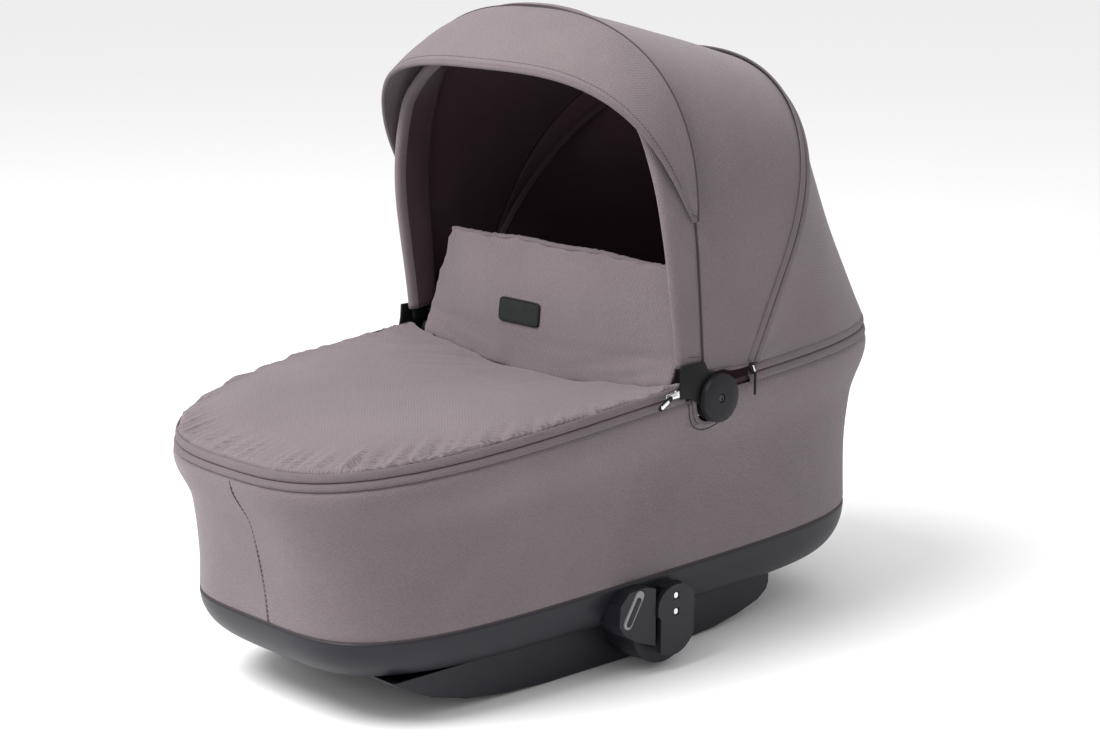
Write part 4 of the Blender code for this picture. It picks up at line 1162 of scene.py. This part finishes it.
def facing(side, lean):
    """A plane that faces sideways, turned so that its downward direction leans towards the foot."""
    down = Vector((0, -math.sin(lean), -math.cos(lean)))
    out = Vector((side, 0, 0))
    across = (-down).cross(out)
    return Matrix((across, -down, out)).transposed()


def make_zip_fittings(side, word):
    """The sliders and pulls of the apron's zip and of the hood's zip."""
    bright, dark = (NICKEL, "steel"), (BLACK, "steel")
    middle, turn = centre(f"apron_slider_{word}"), facing(side, math.radians(82))
    shape = [(-0.0036, 0.0070), (0.0036, 0.0070), (0.0026, -0.0010), (0.0026, -0.0070), (-0.0026, -0.0070),
             (-0.0026, -0.0010)]
    for name, shift, thickness, node in (("top", 0.0017, 0.0014, f"apron_slider_{word}"),
                                         ("bottom", -0.0018, 0.0012, None)):
        fitting(f"apron_slider_{name}_{word}", shape, thickness, middle + Vector((side * shift, 0, 0)), turn,
                bright, "apron", node)
    fitting(f"apron_slider_bridge_{word}", capsule(0.0085, 0.0020), 0.0016,
            middle + turn @ Vector((0, 0.0036, 0.0032)), turn, bright, "apron", bevel=0.0004)
    body = f"apron_pull_{word}"
    pivot, tab = Vector(JOINTS[f"{body}_swing"]["pos_m"]), facing(side, math.radians(60))
    fitting(body, capsule(0.0205, 0.0056), 0.0016, pivot + Vector((0, 0, 0.0003)), tab, dark, body,
            f"{body}_tab")
    fitting(f"apron_pull_inlay_{word}", capsule(0.0120, 0.0036), 0.0010,
            pivot + tab @ Vector((0, -0.0055, 0.0007)), tab, bright, body, bevel=0.0003)

    middle, turn = centre(f"hood_slider_{word}"), facing(side, math.radians(-22))
    fitting(f"hood_slider_body_{word}", capsule(0.0120, 0.0078), 0.0034, middle + turn @ Vector((0, 0.006, 0)),
            turn, dark, "rear_bow", f"hood_slider_{word}", bevel=0.0010)
    fitting(f"hood_slider_bridge_{word}", capsule(0.0080, 0.0018), 0.0014,
            middle + turn @ Vector((0, 0.004, 0.0022)), turn, bright, "rear_bow", bevel=0.0003)
    body = f"hood_pull_{word}"
    pivot = Vector(JOINTS[f"{body}_swing"]["pos_m"])
    fitting(body, capsule(0.0235, 0.0030), 0.0016, pivot + Vector((0, 0, 0.0006)), facing(side, 0.0),
            (BLACK, "black_plastic"), body, f"{body}_tab")


def make_release_button(side, word):
    """The slanted grey button, with the dark grip let into it."""
    low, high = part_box(f"release_button_{word}")
    outer = max(abs(low[0]), abs(high[0]))
    spin, length = facing(side, math.atan2(0.0155, 0.0250)), 0.0410

    def place(inside, cut):
        """Where a part starts: that far inside the button's face and that far below its top end."""
        middle = Vector((side * (outer - inside), (low[1] + high[1]) / 2, (low[2] + high[2]) / 2))
        return middle + spin @ Vector((0, length / 2 - cut, 0))

    fitting(f"release_button_{word}", capsule(length, 0.0114), 0.0085, place(0.0045, 0.0), spin,
            (GREY, "grey_plastic"), f"button_{word}", f"release_button_{word}", bevel=0.0014)
    fitting(f"release_button_grip_{word}", capsule(length - 0.0100, 0.0062), 0.0016, place(0.0002, 0.0070),
            spin, (CHARCOAL, "grey_plastic"), f"button_{word}", bevel=0.0005)


def finish_nodes():
    """Materials for every CAD node that stays."""
    finishes = {"carrier_tray": CHARCOAL, "rim_frame": ALUMINIUM, "rear_bow": LINING}
    for end in ("foot", "head"):
        finishes.update({f"frame_brace_{end}": STEEL, f"side_panel_{end}": BOARD})
    for _, word in SIDES:
        finishes.update({f"side_panel_{word}": BOARD, f"hub_housing_{word}": BLACK, f"hub_pin_{word}": STEEL,
                         f"rear_bow_end_{word}": BLACK, f"adapter_body_{word}": CHARCOAL,
                         f"adapter_neck_{word}": CHARCOAL, f"adapter_plate_{word}": CHARCOAL,
                         f"button_housing_{word}": CHARCOAL, f"latch_bolt_{word}": NICKEL})
    finishes.update({f"tray_screw_{number}": STEEL for number in (1, 2, 3, 4)})
    for name, material in finishes.items():
        data = frame["nodes"][name].data
        data.materials.clear()
        data.materials.append(material)
        data.shade_smooth()
        data.set_sharp_from_angle(angle=math.radians(35))


# ---- everything --------------------------------------------------------------------------------
add_camera()
add_studio()
make_tub_cover()
make_cover_details()
make_rim_zip()
make_lining()
make_base()
make_apron()
make_flap()
make_mattress()
make_hood()
make_hood_hem()
make_hood_zip()
make_sleeve()
make_bow()
make_visor()
for hand in SIDES:
    make_zip_fittings(*hand)
    make_release_button(*hand)
finish_nodes()
